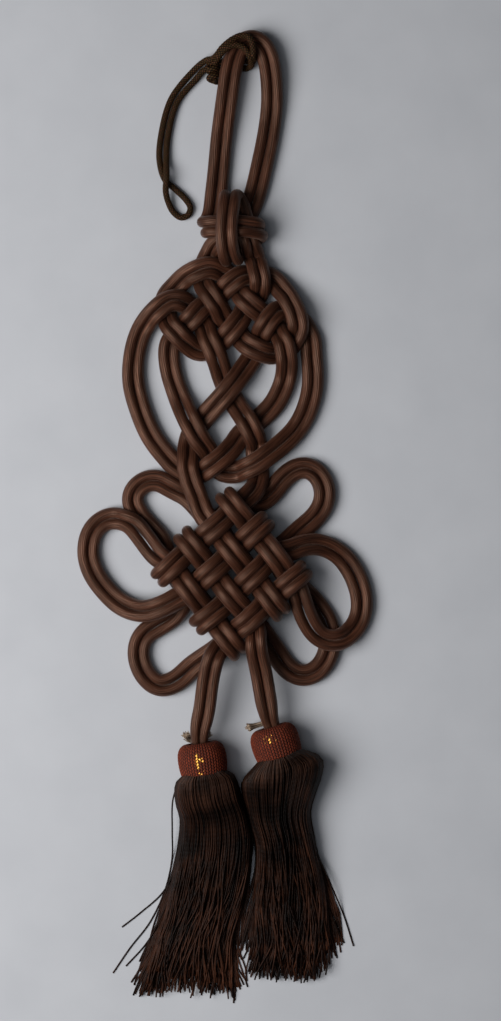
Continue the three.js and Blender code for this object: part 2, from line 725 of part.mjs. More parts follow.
function tassel(side) {
  const { turn, top } = capFrame(CAPS[side]);
  const head = turned([
    [0, HEAD_TOP], [HEAD_RADIUS - HEAD_SHOULDER, HEAD_TOP], [HEAD_RADIUS, HEAD_TOP + HEAD_SHOULDER],
    [HEAD_RADIUS, CAP_LENGTH], [HEAD_RADIUS - HEAD_EDGE, HEAD_BOTTOM], [0, HEAD_BOTTOM],
  ], HEAD_SEGMENTS);
  head.rotateZ(turn);
  head.translate(top.x, top.y, top.z);
  return toGeometry(joined([toManifold(head), ...skirtLocks(side)]));
}

// The object
const group = new THREE.Group();

function add(name, geometry, color, roughness) {
  const mesh = new THREE.Mesh(geometry, new THREE.MeshStandardMaterial({ color, roughness, metalness: 0 }));
  mesh.name = name;
  group.add(mesh);
  return mesh;
}

add('knotted_cord', knottedCord(), COLOUR.satin, 0.45);
add('hanger_knot', hangerKnot(), COLOUR.hanger, 0.8);
add('hanger_cord', thinTube(HANGER_ROUTE, HANGER, HANGER_SIDES, HANGER_STEP), COLOUR.hanger, 0.8);
for (const side of ['left', 'right']) {
  const { turn, top } = capFrame(CAPS[side]);
  const cap = add(`cap_${side}`, capGeometry(), COLOUR.cap, 0.7);
  cap.rotation.z = turn;
  cap.position.copy(top);
  add(`tassel_${side}`, tassel(side), COLOUR.thread, 0.7);
  add(`tie_${side}`, thinTube(TIE_ROUTE[side], TIE, TIE_SIDES, TIE_STEP), COLOUR.tie, 0.8);
}

export default group;
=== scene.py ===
"""A knotted satin-cord hanging with two thread tassels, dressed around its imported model.

The surface that it lies on is z = 0, +Y points to the hanging loop and +X to the right. Tables and sizes
are in millimetres, or in pixels of the photograph where they say so; meshes are made in metres.
"""

import math

import bpy
import numpy as np
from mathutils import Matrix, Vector


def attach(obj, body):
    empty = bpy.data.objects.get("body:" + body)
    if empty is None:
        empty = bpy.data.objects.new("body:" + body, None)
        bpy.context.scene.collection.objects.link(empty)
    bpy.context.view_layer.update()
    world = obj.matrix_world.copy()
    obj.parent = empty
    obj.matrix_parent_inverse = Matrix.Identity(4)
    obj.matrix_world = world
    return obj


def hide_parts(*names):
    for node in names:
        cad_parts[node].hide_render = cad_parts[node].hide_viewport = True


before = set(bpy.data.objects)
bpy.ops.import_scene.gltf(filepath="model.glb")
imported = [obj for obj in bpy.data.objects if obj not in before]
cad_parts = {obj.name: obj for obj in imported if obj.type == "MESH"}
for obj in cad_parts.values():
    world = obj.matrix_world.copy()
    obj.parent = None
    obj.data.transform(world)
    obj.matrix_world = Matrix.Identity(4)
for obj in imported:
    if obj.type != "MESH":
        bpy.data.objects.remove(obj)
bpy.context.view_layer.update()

MM = 0.001
UP = np.array([0.0, 0.0, 1.0])

# Seeds of what is uneven
CORD_SEED = 5
TASSEL_SEEDS = {"left": 7, "right": 11}
TIE_SEED = 3

# The photograph
PHOTO_SIZE = (501, 1021)
PHOTO_SCALE = 0.45  # millimetres to one pixel
PHOTO_ORIGIN = (224.5, 513.78)  # the pixel that lies over the origin
CAMERA_HEIGHT = 1500
SENSOR = 36

# Cords
CORD = 4.9  # distance between the middle lines of two satin cords that touch
SATIN_DRAWN = 5.0  # satin cord diameter; cords press a little on each other
PAIR_PITCH = 4.95  # between the two cords of the doubled cord
HANGER = 2.9  # thin braided cord diameter
TIE = 2.3  # cut tie cord diameter
CROSSING_HALF = 0.72 * PAIR_PITCH
STEEPEST_LEVEL = 0.35  # on a steeper course the pair keeps its side direction
PAIR_EASE = 0.5
ROUTE_STEPS = 24  # from one point of the route to the next
LINE_STEPS = 40  # the same on the thin cords

# Caps
CAP_RADIUS = 11
CAP_LENGTH = 14
CAP_SEGMENTS = 20
CAP_FLAT = CAP_RADIUS * math.cos(math.pi / CAP_SEGMENTS)
CORD_IN_CAP = 2.6

# Heights of a cord's centre in cord diameters
LEVEL = {"floor": 0.5, "over": 1.5, "inner_back": 1.5, "inner_front": 2.5, "outer_front": 3.5}

# Settling of the cords, so that they touch and don't press into each other
POINT_STEP = 1.3
SETTLE_ROUNDS = 110
SETTLE_SMOOTH = 0.25
FINAL_SMOOTHINGS = 2
SETTLE_HOME = 0.05
SETTLE_LOOK = 5  # rounds between two searches for neighbours
SETTLE_REACH = 1.6  # how far a neighbour may be, in cord diameters
SAME_STRETCH = math.ceil(1.7 * CORD / POINT_STEP)

# How unevenly the cords are laid
WANDER_STEP = 20.0  # from one change of course to the next
WANDER_PARTS = 10  # of each
PAIR_WANDER = np.array([0.35, 0.35, 0.1])
CORD_WANDER = np.array([0.22, 0.22, 0.12])

# Crossings of the oval knot, from its crown to its foot: photo x, photo y
OVAL_CROSSING = {
    "crownLeft": [204.5, 268], "crownMiddle": [234, 282], "crownRight": [258, 277],
    "upperLeft": [212, 301], "shoulderLeft": [166, 304], "upperMiddle": [249, 305],
    "shoulderRight": [297.5, 320], "innerLeft": [197, 315], "innerRight": [268, 320],
    "heart": [233, 330], "flankLeft": [178.5, 333.5], "heartLeft": [211.5, 348],
    "heartRight": [256, 350], "flankRight": [285, 348.5], "waist": [229, 389], "lowerLeft": [194, 430],
    "lowerRight": [251, 428], "footRight": [259, 462], "footMiddle": [215, 464.5],
    "footLeft": [190, 474],
}
# Its strands, which go over and under in turn. Between crossings: photo x, photo y, height in cord
# diameters
LEFT_OVAL_STRAND = [
    [212, 253, 0.5], "crownLeft", [202, 281, 0.5], "upperLeft", "heart", "heartRight", "flankRight",
    [295, 334.5, 1.2], "shoulderRight", [285.5, 295.5, 1.0], [272, 281, 0.5], "crownRight", "crownMiddle",
    "upperLeft", "innerLeft", "flankLeft", [170, 346, 0.5], [171, 369, 0.5], [179, 397, 0.5], "lowerLeft",
    "footMiddle", [225, 473.5, 0.5], [238, 473.5, 0.5], "footRight", [299, 428, 0.5], [312.5, 388, 0.5],
    [310, 352, 0.5], [307, 338, 0.5], "shoulderRight", [282.5, 309, 0.5], "innerRight", "heartRight",
    "waist", "lowerLeft", [189, 446, 0.5], "footLeft", [196, 492, 1.75], [205, 517, 2.4],
]
RIGHT_OVAL_STRAND = [
    [255, 262, 0.5], "crownRight", [257, 293, 0.5], "upperMiddle", "heart", "heartLeft", [199, 353, 0.5],
    "flankLeft", [169.5, 320, 0.5], "shoulderLeft", [174.5, 289.5, 0.5], [182.5, 279.5, 0.7], "crownLeft",
    [216, 269.5, 1.2], [223.5, 276, 0.75], "crownMiddle", "upperMiddle", "innerRight", [277, 334, 0.5],
    "flankRight", [286, 378, 0.5], [273, 406, 0.5], "lowerRight", [241, 440, 0.5], "footMiddle",
    "footLeft", [176, 467, 0.5], [153, 439, 0.5], [139, 402, 0.5], [134, 370, 0.5], [142, 331.5, 0.5],
    "shoulderLeft", [183, 302.5, 1.5], "innerLeft", "heartLeft", "waist", [236, 403, 0.5], "lowerRight",
    [256, 440, 0.5], "footRight", [256, 488, 1.3],
]

# The endless knot's woven body: four lines of each kind, spaced along the other kind's lines
LATTICE_CENTRE = np.array([232.3, 573.2])
LATTICE_LINES = 4
ALONG_A = np.array([19.0, 24.2])  # photo pixels from one B line to the next
ALONG_B = np.array([21.0, -19.6])  # photo pixels from one A line to the next
FOLD_REACH = 7.0  # millimetres from the last crossing to a fold's tip
# Points of a fold: share of its reach, and height from the body's middle in cord diameters
FOLD_SHAPE = [(0.72, -1.15), (1, 0), (0.72, 1.15)]

# Points between the knots: photo x, photo y, height in cord diameters
TOP_LOOP = [
    [214, 204, 0.5], [218, 172, 0.5], [222, 136, 0.7], [229, 88, 1.1], [233, 66, 1.2], [239, 49.5, 1.2],
    [251.5, 42, 1.2], [262.5, 49.5, 1.2], [268, 64, 1.15], [270.5, 84, 0.95], [271, 105, 0.7],
    [268.5, 130, 0.5], [261, 167, 0.5], [252, 204, 0.5],
]
NECK_LEFT = [
    [213, 214, 0.55], [208, 226, 0.6], [202, 229.5, 1.3], [205, 228.5, 2.3], [214, 228, 2.5],
    [240, 228, 2.5], [254, 229, 2.4], [261, 232, 1.5], [256, 235, 0.6], [249, 236, 0.5], [238, 239, 1.5],
    [227, 241, 1.4], [216, 246, 1.0],
]
NECK_RIGHT = [
    [246, 216, 0.5], [239, 232, 0.5], [234, 250, 0.6], [232.5, 264, 1.7], [228.5, 256, 3.1], [227, 241, 3.5],
    [227, 222, 3.5], [228.5, 208, 3.45], [229.5, 199, 3.1], [230, 196, 2.3], [233, 199.5, 1.5],
    [239, 206, 1.4], [242, 217, 1.5], [245.5, 232, 1.5], [250.5, 246, 1.3],
]
PETAL = {
    "upperLeft": [
        [184, 494, 0.7], [166, 483, 0.55], [151, 480, 0.5], [139, 485.5, 0.5], [132, 496, 0.5],
        [134, 509, 0.5], [149, 526, 0.5], [163, 542, 0.7],
    ],
    "left": [
        [160, 556, 2.6], [146, 538, 1.9], [131, 521, 1.1], [118, 517, 0.6], [104, 519.5, 0.5],
        [92.5, 531, 0.5], [88, 550, 0.5], [92, 569, 0.5], [104.5, 589, 0.5], [120, 605, 0.7],
        [140.5, 612, 1.6], [160, 607, 2.6],
    ],
    "lowerLeft": [
        [177, 614, 0.8], [160, 624, 0.5], [146, 631.5, 0.5], [139, 644, 0.5], [139, 659, 0.5],
        [146, 675, 0.5], [160, 686, 0.5], [178, 681, 0.5], [194, 665, 0.6],
    ],
    "upperRight": [
        [263, 499, 0.8], [279, 481.5, 0.5], [291, 470, 0.5], [305, 465.5, 0.5], [318, 472, 0.5],
        [325.5, 486, 0.5], [325.5, 500, 0.5], [318, 514, 0.5], [303, 527.5, 0.7],
    ],
    "right": [
        [285, 552, 2.6], [303, 545.5, 1.8], [323, 546, 0.9], [342, 556.5, 0.5], [355, 576, 0.5],
        [361, 597, 0.5], [360, 615, 0.5], [351, 631.5, 0.8], [335, 640.5, 1.5], [320, 636, 1.6],
        [308, 619, 2.0],
    ],
    "lowerRight": [
        [313, 602, 0.5], [323.5, 619, 0.5], [329.5, 637, 0.5], [328.5, 654, 0.5], [322.5, 667, 0.5],
        [312.5, 675, 0.5], [301, 676, 0.5], [288.5, 668.5, 0.5], [276, 652, 0.6],
    ],
}
LEG_LEFT = [[216, 652, 3.4], [208.5, 681, 2.9], [204, 711, 2.6], [199.5, 731, 2.4]]
LEG_RIGHT = [[254, 638, 3.4], [260.5, 668, 2.8], [265, 697, 2.5], [268, 716, 2.4]]
HALVES = {
    "left": (NECK_LEFT, LEFT_OVAL_STRAND, LEG_LEFT),
    "right": (NECK_RIGHT, RIGHT_OVAL_STRAND, LEG_RIGHT),
}
# Each half's bights in the endless knot: the kind and number of its line, and the petal after it
BIGHTS = {
    "left": [("A", 3, "upperLeft"), ("A", 1, "left"), ("B", 2, "lowerLeft"), ("B", 4, None)],
    "right": [("B", 1, "upperRight"), ("B", 3, "right"), ("A", 4, "lowerRight"), ("A", 2, None)],
}
# The hanger's hitch goes twice round the top loop's left limb: photo x, photo y, z in mm
HITCH_ROUTES = {
    "outer": [
        [206.8, 62.4, 4.8], [210, 61.4, 5.8], [213.5, 60.4, 7.2], [217.5, 57, 8.8], [221.5, 51.8, 9.8],
        [227, 46.5, 10.4], [233.5, 42, 10.5], [240.5, 39, 10.5], [247.5, 39.5, 10.6], [251.5, 44.5, 10.8],
        [253, 51.5, 10.8], [253, 58.6, 9.6], [253.2, 62.5, 5], [248.5, 62, 2], [241, 61, 1.6],
        [232, 61, 1.6], [222, 63, 2], [214, 66.5, 3.6],
    ],
    "inner": [
        [214.5, 65, 5.5], [218.5, 59.5, 8.4], [224, 53.5, 10], [231, 49, 10.5], [238.5, 48.5, 10.5],
        [245.5, 52.5, 10.4], [250.4, 60, 9.2], [251.2, 66.8, 4.6], [246.8, 69, 1.9], [238, 69, 1.6],
        [228, 70, 1.6], [220, 72.5, 2.2], [214, 76, 3.6],
    ],
}
# The free hanger, out from the knot, round its end loop and back: photo x, photo y, z in mm
HANGER_ROUTE = [
    [219, 61.5, 4.6], [209, 61, 5.2], [203.2, 63.4, 3.8], [194.4, 70.5, 2.0], [171.5, 99.1, 1.6],
    [161.1, 136.4, 1.6], [159.6, 161, 1.6], [165, 180, 1.6], [174.5, 189, 1.6], [185.5, 199.5, 1.6],
    [190.4, 208, 1.6], [188, 215.5, 1.6], [181, 217.8, 1.7], [173.5, 212.5, 1.8], [168.6, 203, 2.6],
    [166, 192, 4.4], [166.8, 178, 4.9], [166.4, 161, 2.3], [167.8, 137.6, 1.7], [177.5, 102.3, 1.6],
    [196.4, 79.4, 1.7], [203, 72, 3.0], [209.5, 68.5, 4.0],
]
# Cut ends of the ties, each passing under its leg: photo x, photo y, z in mm
TIE_ROUTE = {
    "left": [[186, 733.5, 8.4], [189.5, 738.5, 5.6], [197.5, 739.5, 4.4], [204, 738, 5.8], [208.5, 733, 9]],
    "right": [[247.5, 726.5, 7.6], [255, 725, 5.2], [264, 722.5, 4.4], [270, 720, 5.6], [273, 717, 7]],
}

# The knot at the hanger's hitch: turns side by side across the way it lies
KNOT_CENTRE = (213, 72)
KNOT_TURNS = 3
KNOT_PITCH = 3.25
KNOT_RADIUS = 1.7
KNOT_STEPS = 24  # to a turn
COIL_STEPS = 8  # from one of those to the next

# The middle of each cap in the photograph, and its turn from straight down, in degrees
CAP_CENTRE = {"left": (202.5, 756.5), "right": (275, 740)}
CAP_TURN = {"left": 8, "right": 17}

# Rows of each skirt below its cap: photo x, photo y, half width, height, and how round it is there
SKIRT_ROWS = {
    "left": [
        (205.2, 777, 12.9, 19.6, 0.95), (206.5, 786, 14.1, 19.0, 0.85), (209, 800, 14.5, 17.0, 0.7),
        (214, 815, 14.8, 15.0, 0.55), (215.5, 840, 16.2, 12.4, 0.4), (207.5, 891, 17.3, 9.2, 0.25),
        (194.5, 941, 17.4, 7.2, 0.1), (184.5, 1004, 22.4, 4.8, 0),
    ],
    "right": [
        (281, 761, 15.2, 19.8, 0.95), (282.4, 770, 18.4, 19.4, 0.85), (281.5, 785, 17.6, 17.4, 0.7),
        (280, 800, 15.4, 15.4, 0.55), (279.5, 816, 13.5, 13.6, 0.45), (285, 842, 12.9, 12.0, 0.35),
        (289.5, 891, 15.9, 8.8, 0.25), (291, 941, 17.8, 6.8, 0.1), (287.5, 986, 20.6, 4.8, 0),
    ],
}
THREAD = 0.72  # thread diameter
THREADS = 620
SMOOTH_THREADS = 130  # of them lie side by side on top
THREAD_STEPS = 34
ROOT_DEPTHS = [(10.5, 8.0), (13.9, 9.6)]  # below a cap's top: depth, half width of the bunch of threads
TUFTS = 19
# Parts of a thread's length by which it may fall short: its tuft's, its own, and at the skirt's sides
TUFT_RAGGED = 0.11
THREAD_RAGGED = 0.12
SIDE_SHORTFALL = {"left": 0.05, "right": 0.10}
# Parts of the skirt's half width
EVEN_ERROR = 0.03  # of the places of the smooth threads
TUFT_SIDE = 0.97  # where the outermost tufts are
TUFT_ERROR = 0.6  # of the tufts' places, divided by how many there are
TUFT_WAVE = 0.14
OWN_WAVE = 0.06
OWN_DRIFT = 0.20
ROOT_DRIFT = 0.035
TIP_SPLAY = 0.08
LOOSEST = 1.3  # how far out a thread may lie
# Fewest and most waves over the length of a tuft, of a thread across, and of a thread up and down
TUFT_TURNS = (0.6, 1.6)
OWN_TURNS = (0.8, 3.0)
LAYER_TURNS = (0.8, 2.5)
# Where on a thread's length it leaves its root, gets loose, gathers, drifts and splays
OFF_ROOT = (0, 0.25)
LOOSENING = (1 / 6, 5 / 6)
GATHERING = (0.3, 0.9)
DRIFTING = (1 / 3, 1)
SPLAYING = (0.8, 1)
GATHER = 0.72  # how far a thread is drawn to its tuft
TUFT_DIP = 0.4  # how much lower a tuft may lie
LAYER_WAVE = 0.3  # how far a thread dives among the others
LAYER_SHIFT = 0.7  # of those waves, by which it is deeper on the whole
TOP_LAYER = 0.97  # where the smooth threads begin, from 0 at the bottom to 1 at the top
INNER_LAYERS = 0.6  # power that sends more of the loose threads up
SIDE_ROUND = 0.65  # how far the threads crowd to the sides, as round a bunch
HEAP_ROUND = 0.8  # power of a flat heap's section
SKIRT_STEPS = 12
TUFT_SHADE = 0.45  # how much of a thread's shade is its tuft's
DARKER = 1.3  # power that makes more threads dark
STRAY_START = 6.0  # height at which a stray thread leaves its skirt
STRAY_LIFTED = 3  # points that it has over the surface
STRAY_STEPS = 16
STRAY_PARTS = 60
STRAY_SHADE = 0.4

# Stray threads that lie apart: photo x, photo y
STRAYS = {
    "left": [
        [(178, 782), (173, 800), (172.5, 830), (172, 859), (165, 890), (150, 922), (130, 948), (113, 973)],
        [(184, 812), (180, 838), (176, 866), (163, 892), (140, 913), (122, 927)],
        [(186, 830), (178, 868), (166, 905), (148, 941), (126, 966)],
        [(184, 842), (180, 880), (168, 920), (150, 962), (135, 994)],
        [(231, 838), (236, 880), (232, 922), (236, 962), (233.5, 1003)],
    ],
    "right": [
        [(304, 815), (314, 846), (330, 882), (344, 916), (353.5, 946)],
        [(302, 826), (311, 862), (326, 902), (344, 943)],
        [(300, 840), (312, 884), (328, 926), (337, 958)],
        [(262, 838), (260, 876), (252, 910), (242, 946), (233.5, 969)],
    ],
}


def place(photo_x, photo_y, z=0.0):
    """The point in millimetres over a pixel of the photograph, at height z."""
    x = (photo_x - PHOTO_ORIGIN[0]) * PHOTO_SCALE
    y = (PHOTO_ORIGIN[1] - photo_y) * PHOTO_SCALE
    return np.array([x, y, z])


def unit(vectors):
    return vectors / np.linalg.norm(vectors, axis=-1, keepdims=True)


def smooth_step(value):
    value = np.clip(value, 0, 1)
    return value * value * (3 - 2 * value)


# Lines


def spline(points, steps):
    """A centripetal Catmull-Rom curve through the points, in that many steps from each to the next."""
    points = np.asarray(points, float)
    ends = np.vstack([2 * points[0] - points[1], points, 2 * points[-1] - points[-2]])
    gaps = np.linalg.norm(np.diff(ends, axis=0), axis=1) ** 0.5
    before, here, after = gaps[:-2, None], gaps[1:-1, None], gaps[2:, None]
    p0, p1, p2, p3 = ends[:-3], ends[1:-2], ends[2:-1], ends[3:]
    leave = ((p1 - p0) / before - (p2 - p0) / (before + here) + (p2 - p1) / here) * here
    arrive = ((p2 - p1) / here - (p3 - p1) / (here + after) + (p3 - p2) / after) * here
    t = (np.arange(steps) / steps)[None, :, None]
    p1, p2, leave, arrive = (value[:, None, :] for value in (p1, p2, leave, arrive))
    cubic = p1 + leave * t + (3 * (p2 - p1) - 2 * leave - arrive) * t**2
    cubic = cubic + (2 * (p1 - p2) + leave + arrive) * t**3
    return np.vstack([cubic.reshape(-1, points.shape[1]), points[-1:]])


def travelled(line):
    """How far along a line each of its points is."""
    return np.concatenate([[0], np.cumsum(np.linalg.norm(np.diff(line, axis=0), axis=1))])


def resample(line, count):
    """The line as that many equal steps."""
    distance = travelled(line)
    wanted = np.linspace(0, distance[-1], count + 1)
    return np.stack([np.interp(wanted, distance, axis) for axis in line.T], axis=1)


def in_steps(line, step):
    """The line in equal steps of about that size."""
    return resample(line, round(travelled(line)[-1] / step))


# The doubled cord's route


def satin_level(point):
    return place(point[0], point[1], point[2] * CORD)


def bends(points):
    return [(satin_level(point), False) for point in points]


def oval_route(strand, over):
    """The oval knot's route: every crossing is a point held level across the other pair."""
    route = []
    for point in strand:
        crossing = isinstance(point, str)
        if crossing:
            point = [*OVAL_CROSSING[point], LEVEL["over"] if over else LEVEL["floor"]]
            over = not over
        route.append((satin_level(point), crossing))
    return route


def lattice_point(a, b, level):
    middle = (LATTICE_LINES + 1) / 2
    x, y = LATTICE_CENTRE + (b - middle) * ALONG_A + (a - middle) * ALONG_B
    return satin_level([x, y, level])


def pass_level(kind, a, b, face):
    encloses = (a + b) % 2 == (1 if kind == "A" else 0)
    if face == "front":
        return LEVEL["outer_front"] if encloses else LEVEL["inner_front"]
    return LEVEL["floor"] if encloses else LEVEL["inner_back"]


def lattice_pass(kind, index, face, rising):
    route = []
    for count in range(1, LATTICE_LINES + 1):
        other = count if rising else LATTICE_LINES + 1 - count
        a, b = (index, other) if kind == "A" else (other, index)
        route.append((lattice_point(a, b, pass_level(kind, a, b, face)), True))
    return route


def lattice_fold(out):
    """A fold runs past the last crossing, round the outermost line and back on the other face."""
    last, before = out[-1][0], out[-2][0]
    outward = unit((last - before) * [1, 1, 0])
    middle = (LEVEL["outer_front"] + LEVEL["floor"]) / 2
    to_front = 1 if last[2] / CORD < middle else -1
    fold = []
    for reach, rise in FOLD_SHAPE:
        point = last + outward * reach * FOLD_REACH
        point[2] = (middle + to_front * rise) * CORD
        fold.append((point, False))
    return fold


def bight(kind, index, first_face, rising):
    second_face = "back" if first_face == "front" else "front"
    out = lattice_pass(kind, index, first_face, rising)
    back = lattice_pass(kind, index, second_face, not rising)
    return [*out, *lattice_fold(out), *back]


def cap_frame(side):
    """A cap's direction down its axis, the direction across it, and the middle of its top."""
    turn = math.radians(CAP_TURN[side])
    down = np.array([math.sin(turn), -math.cos(turn), 0])
    across = np.array([math.cos(turn), math.sin(turn), 0])
    return down, across, place(*CAP_CENTRE[side], CAP_FLAT) - down * CAP_LENGTH / 2


def cap_entry(side):
    down, _, top = cap_frame(side)
    return [(top - down, False), (top + down * CORD_IN_CAP, False)]


def half_route(side):
    """The doubled cord's way from the neck through both knots to one cap."""
    neck, strand, leg = HALVES[side]
    left = side == "left"
    route = [*bends(neck), *oval_route(strand, not left)]
    for number, (kind, index, petal) in enumerate(BIGHTS[side]):
        route += bight(kind, index, "back" if number % 2 else "front", left)
        route += bends(PETAL.get(petal, []))
    return [*route, *bends(leg), *cap_entry(side)]


def cord_route():
    """The doubled cord's whole way, from the left cap over the top loop to the right cap."""
    return [*half_route("left")[::-1], *bends(TOP_LOOP), *half_route("right")]


def level_crossings(route):
    """A crossing is two points, so that the cord stays level where the other pair's cords pass."""
    points = []
    for number, (point, crossing) in enumerate(route):
        if not crossing:
            points.append(point)
            continue
        along = unit((route[number + 1][0] - route[number - 1][0]) * [1, 1, 0]) * CROSSING_HALF
        points += [point - along, point + along]
    return points


def pair_from(line):
    """The two cords lie side by side, across the way they run."""
    side = np.array([1.0, 0.0, 0.0])
    pair = [[], []]
    for number, (centre, tangent) in enumerate(zip(line, unit(np.gradient(line, axis=0)))):
        across = np.cross(UP, tangent)
        wanted = side if np.linalg.norm(across) < STEEPEST_LEVEL else unit(across)
        if wanted @ side < 0:
            wanted = -wanted
        wanted = unit(wanted - tangent * (wanted @ tangent))
        ease = 1 if number == 0 else PAIR_EASE
        side = unit(side * (1 - ease) + wanted * ease)
        pair[0].append(centre + side * PAIR_PITCH / 2)
        pair[1].append(centre - side * PAIR_PITCH / 2)
    return [np.array(chain) for chain in pair]


def neighbours(points, chain_of, index_of):
    """Pairs of points that may come to touch, except those on one short stretch of a cord."""
    squares = (points**2).sum(axis=1)
    apart = squares[:, None] + squares[None, :] - 2 * points @ points.T
    first, second = np.nonzero(np.triu(apart < (SETTLE_REACH * CORD) ** 2, 1))
    same = chain_of[first] == chain_of[second]
    near = same & (np.abs(index_of[first] - index_of[second]) < SAME_STRETCH)
    return first[~near], second[~near]


def push_apart(points, first, second):
    between = points[first] - points[second]
    distance = np.linalg.norm(between, axis=1)
    touching = (distance < CORD) & (distance > 0)
    first, second, between, distance = (v[touching] for v in (first, second, between, distance))
    push = between * (0.5 * (CORD - distance) / distance)[:, None]
    count = len(points)
    hits = np.bincount(first, minlength=count) + np.bincount(second, minlength=count)
    share = 1 / np.sqrt(np.maximum(hits, 1))
    for axis in range(3):
        moves = np.bincount(first, push[:, axis], count) - np.bincount(second, push[:, axis], count)
        points[:, axis] += moves * share


def settle(pair):
    """Moves the cords' points until they lie against each other, near where they began."""
    count = len(pair[0])
    points = np.vstack(pair)
    home = points.copy()
    chain_of = np.repeat([0, 1], count)
    index_of = np.tile(np.arange(count), 2)
    for settle_round in range(SETTLE_ROUNDS):
        if settle_round % SETTLE_LOOK == 0:
            first, second = neighbours(points, chain_of, index_of)
        for chain in (points[:count], points[count:]):
            middles = (chain[:-2] + chain[2:]) / 2
            chain[1:-1] += (middles - chain[1:-1]) * SETTLE_SMOOTH
        points += (home - points) * SETTLE_HOME
        push_apart(points, first, second)
        points[:, 2] = np.maximum(points[:, 2], SATIN_DRAWN / 2)
    return points[:count], points[count:]


def wander(count, random):
    """Smooth small turns off a course, for that many points of a line."""
    turns = random.normal(0, 1, (round(count * POINT_STEP / WANDER_STEP) + 2, 3))
    smooth = spline(turns, WANDER_PARTS)
    at = np.linspace(0, len(smooth) - 1, count)
    return np.stack([np.interp(at, np.arange(len(smooth)), axis) for axis in smooth.T], axis=1)


def satin_lines():
    """Both cords' centrelines, laid a little unevenly and settled against each other."""
    random = np.random.default_rng(CORD_SEED)
    line = in_steps(spline(level_crossings(cord_route()), ROUTE_STEPS), POINT_STEP)
    pair = pair_from(line + wander(len(line), random) * PAIR_WANDER)
    chains = settle([chain + wander(len(chain), random) * CORD_WANDER for chain in pair])
    for chain in chains:
        for _ in range(FINAL_SMOOTHINGS):
            chain[1:-1] += ((chain[:-2] + chain[2:]) / 2 - chain[1:-1]) / 2
    return chains


# Meshes


def put(name, data):
    """An object in the scene."""
    thing = bpy.data.objects.new(name, data)
    bpy.context.scene.collection.objects.link(thing)
    return thing


def make_piece(name, vertices, faces, material, node, values):
    """A smooth mesh piece with values at its points, which stands for a node of the model."""
    mesh = bpy.data.meshes.new(name)
    mesh.from_pydata((vertices * MM).tolist(), [], faces)
    mesh.polygons.foreach_set("use_smooth", [True] * len(mesh.polygons))
    for key, value in values.items():
        value = np.asarray(value, np.float32)
        kind, field = ("FLOAT_VECTOR", "vector") if value.ndim == 2 else ("FLOAT", "value")
        mesh.attributes.new(key, kind, "POINT").data.foreach_set(field, value.ravel())
    mesh.materials.append(material)
    mesh.update()
    piece = put(name, mesh)
    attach(piece, "root")
    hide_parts(node)
    return piece


def sweep_frames(line):
    """Two directions across a line at each of its points, which don't twist about it."""
    tangents = unit(np.gradient(line, axis=0))
    start = np.cross(tangents[0], UP)
    if np.linalg.norm(start) < 0.1:
        start = np.cross(tangents[0], [1, 0, 0])
    normals = [unit(start)]
    for number in range(1, len(line)):
        step = line[number] - line[number - 1]
        size = step @ step
        turned = normals[-1] - step * (2 / size) * (step @ normals[-1])
        mirrored = tangents[number - 1] - step * (2 / size) * (step @ tangents[number - 1])
        fix = tangents[number] - mirrored
        size = max(fix @ fix, 1e-12)
        normals.append(unit(turned - fix * (2 / size) * (fix @ turned)))
    normals = np.array(normals)
    return normals, np.cross(tangents, normals)


def ring_faces(rings, sides):
    """Faces between rings of points, with a fan at each end; the fans' middles come after the rings."""
    faces = []
    for ring in range(rings - 1):
        for side in range(sides):
            low, high = ring * sides, (ring + 1) * sides
            after = (side + 1) % sides
            faces.append((low + side, low + after, high + after, high + side))
    start, end, last = rings * sides, rings * sides + 1, (rings - 1) * sides
    for side in range(sides):
        after = (side + 1) % sides
        faces.append((start, after, side))
        faces.append((end, last + side, last + after))
    return faces


def sweep(line, sides, radius_at):
    """A tube along a line. radius_at takes the angle round it and the distance along it, as grids."""
    normals, seconds = sweep_frames(line)
    along = travelled(line)
    angles, alongs = np.meshgrid(np.arange(sides) / sides * math.tau, along)
    radius = radius_at(angles, alongs)[..., None]
    cosine, sine = np.cos(angles)[..., None], np.sin(angles)[..., None]
    rings = line[:, None] + radius * (normals[:, None] * cosine + seconds[:, None] * sine)
    vertices = np.vstack([rings.reshape(-1, 3), line[:1], line[-1:]])
    lay = np.concatenate([cosine, sine, alongs[..., None] * MM], axis=2).reshape(-1, 3)
    lay = np.vstack([lay, [0, 0, 0], [0, 0, along[-1] * MM]])
    return vertices, ring_faces(len(line), sides), lay, angles, alongs


# Materials


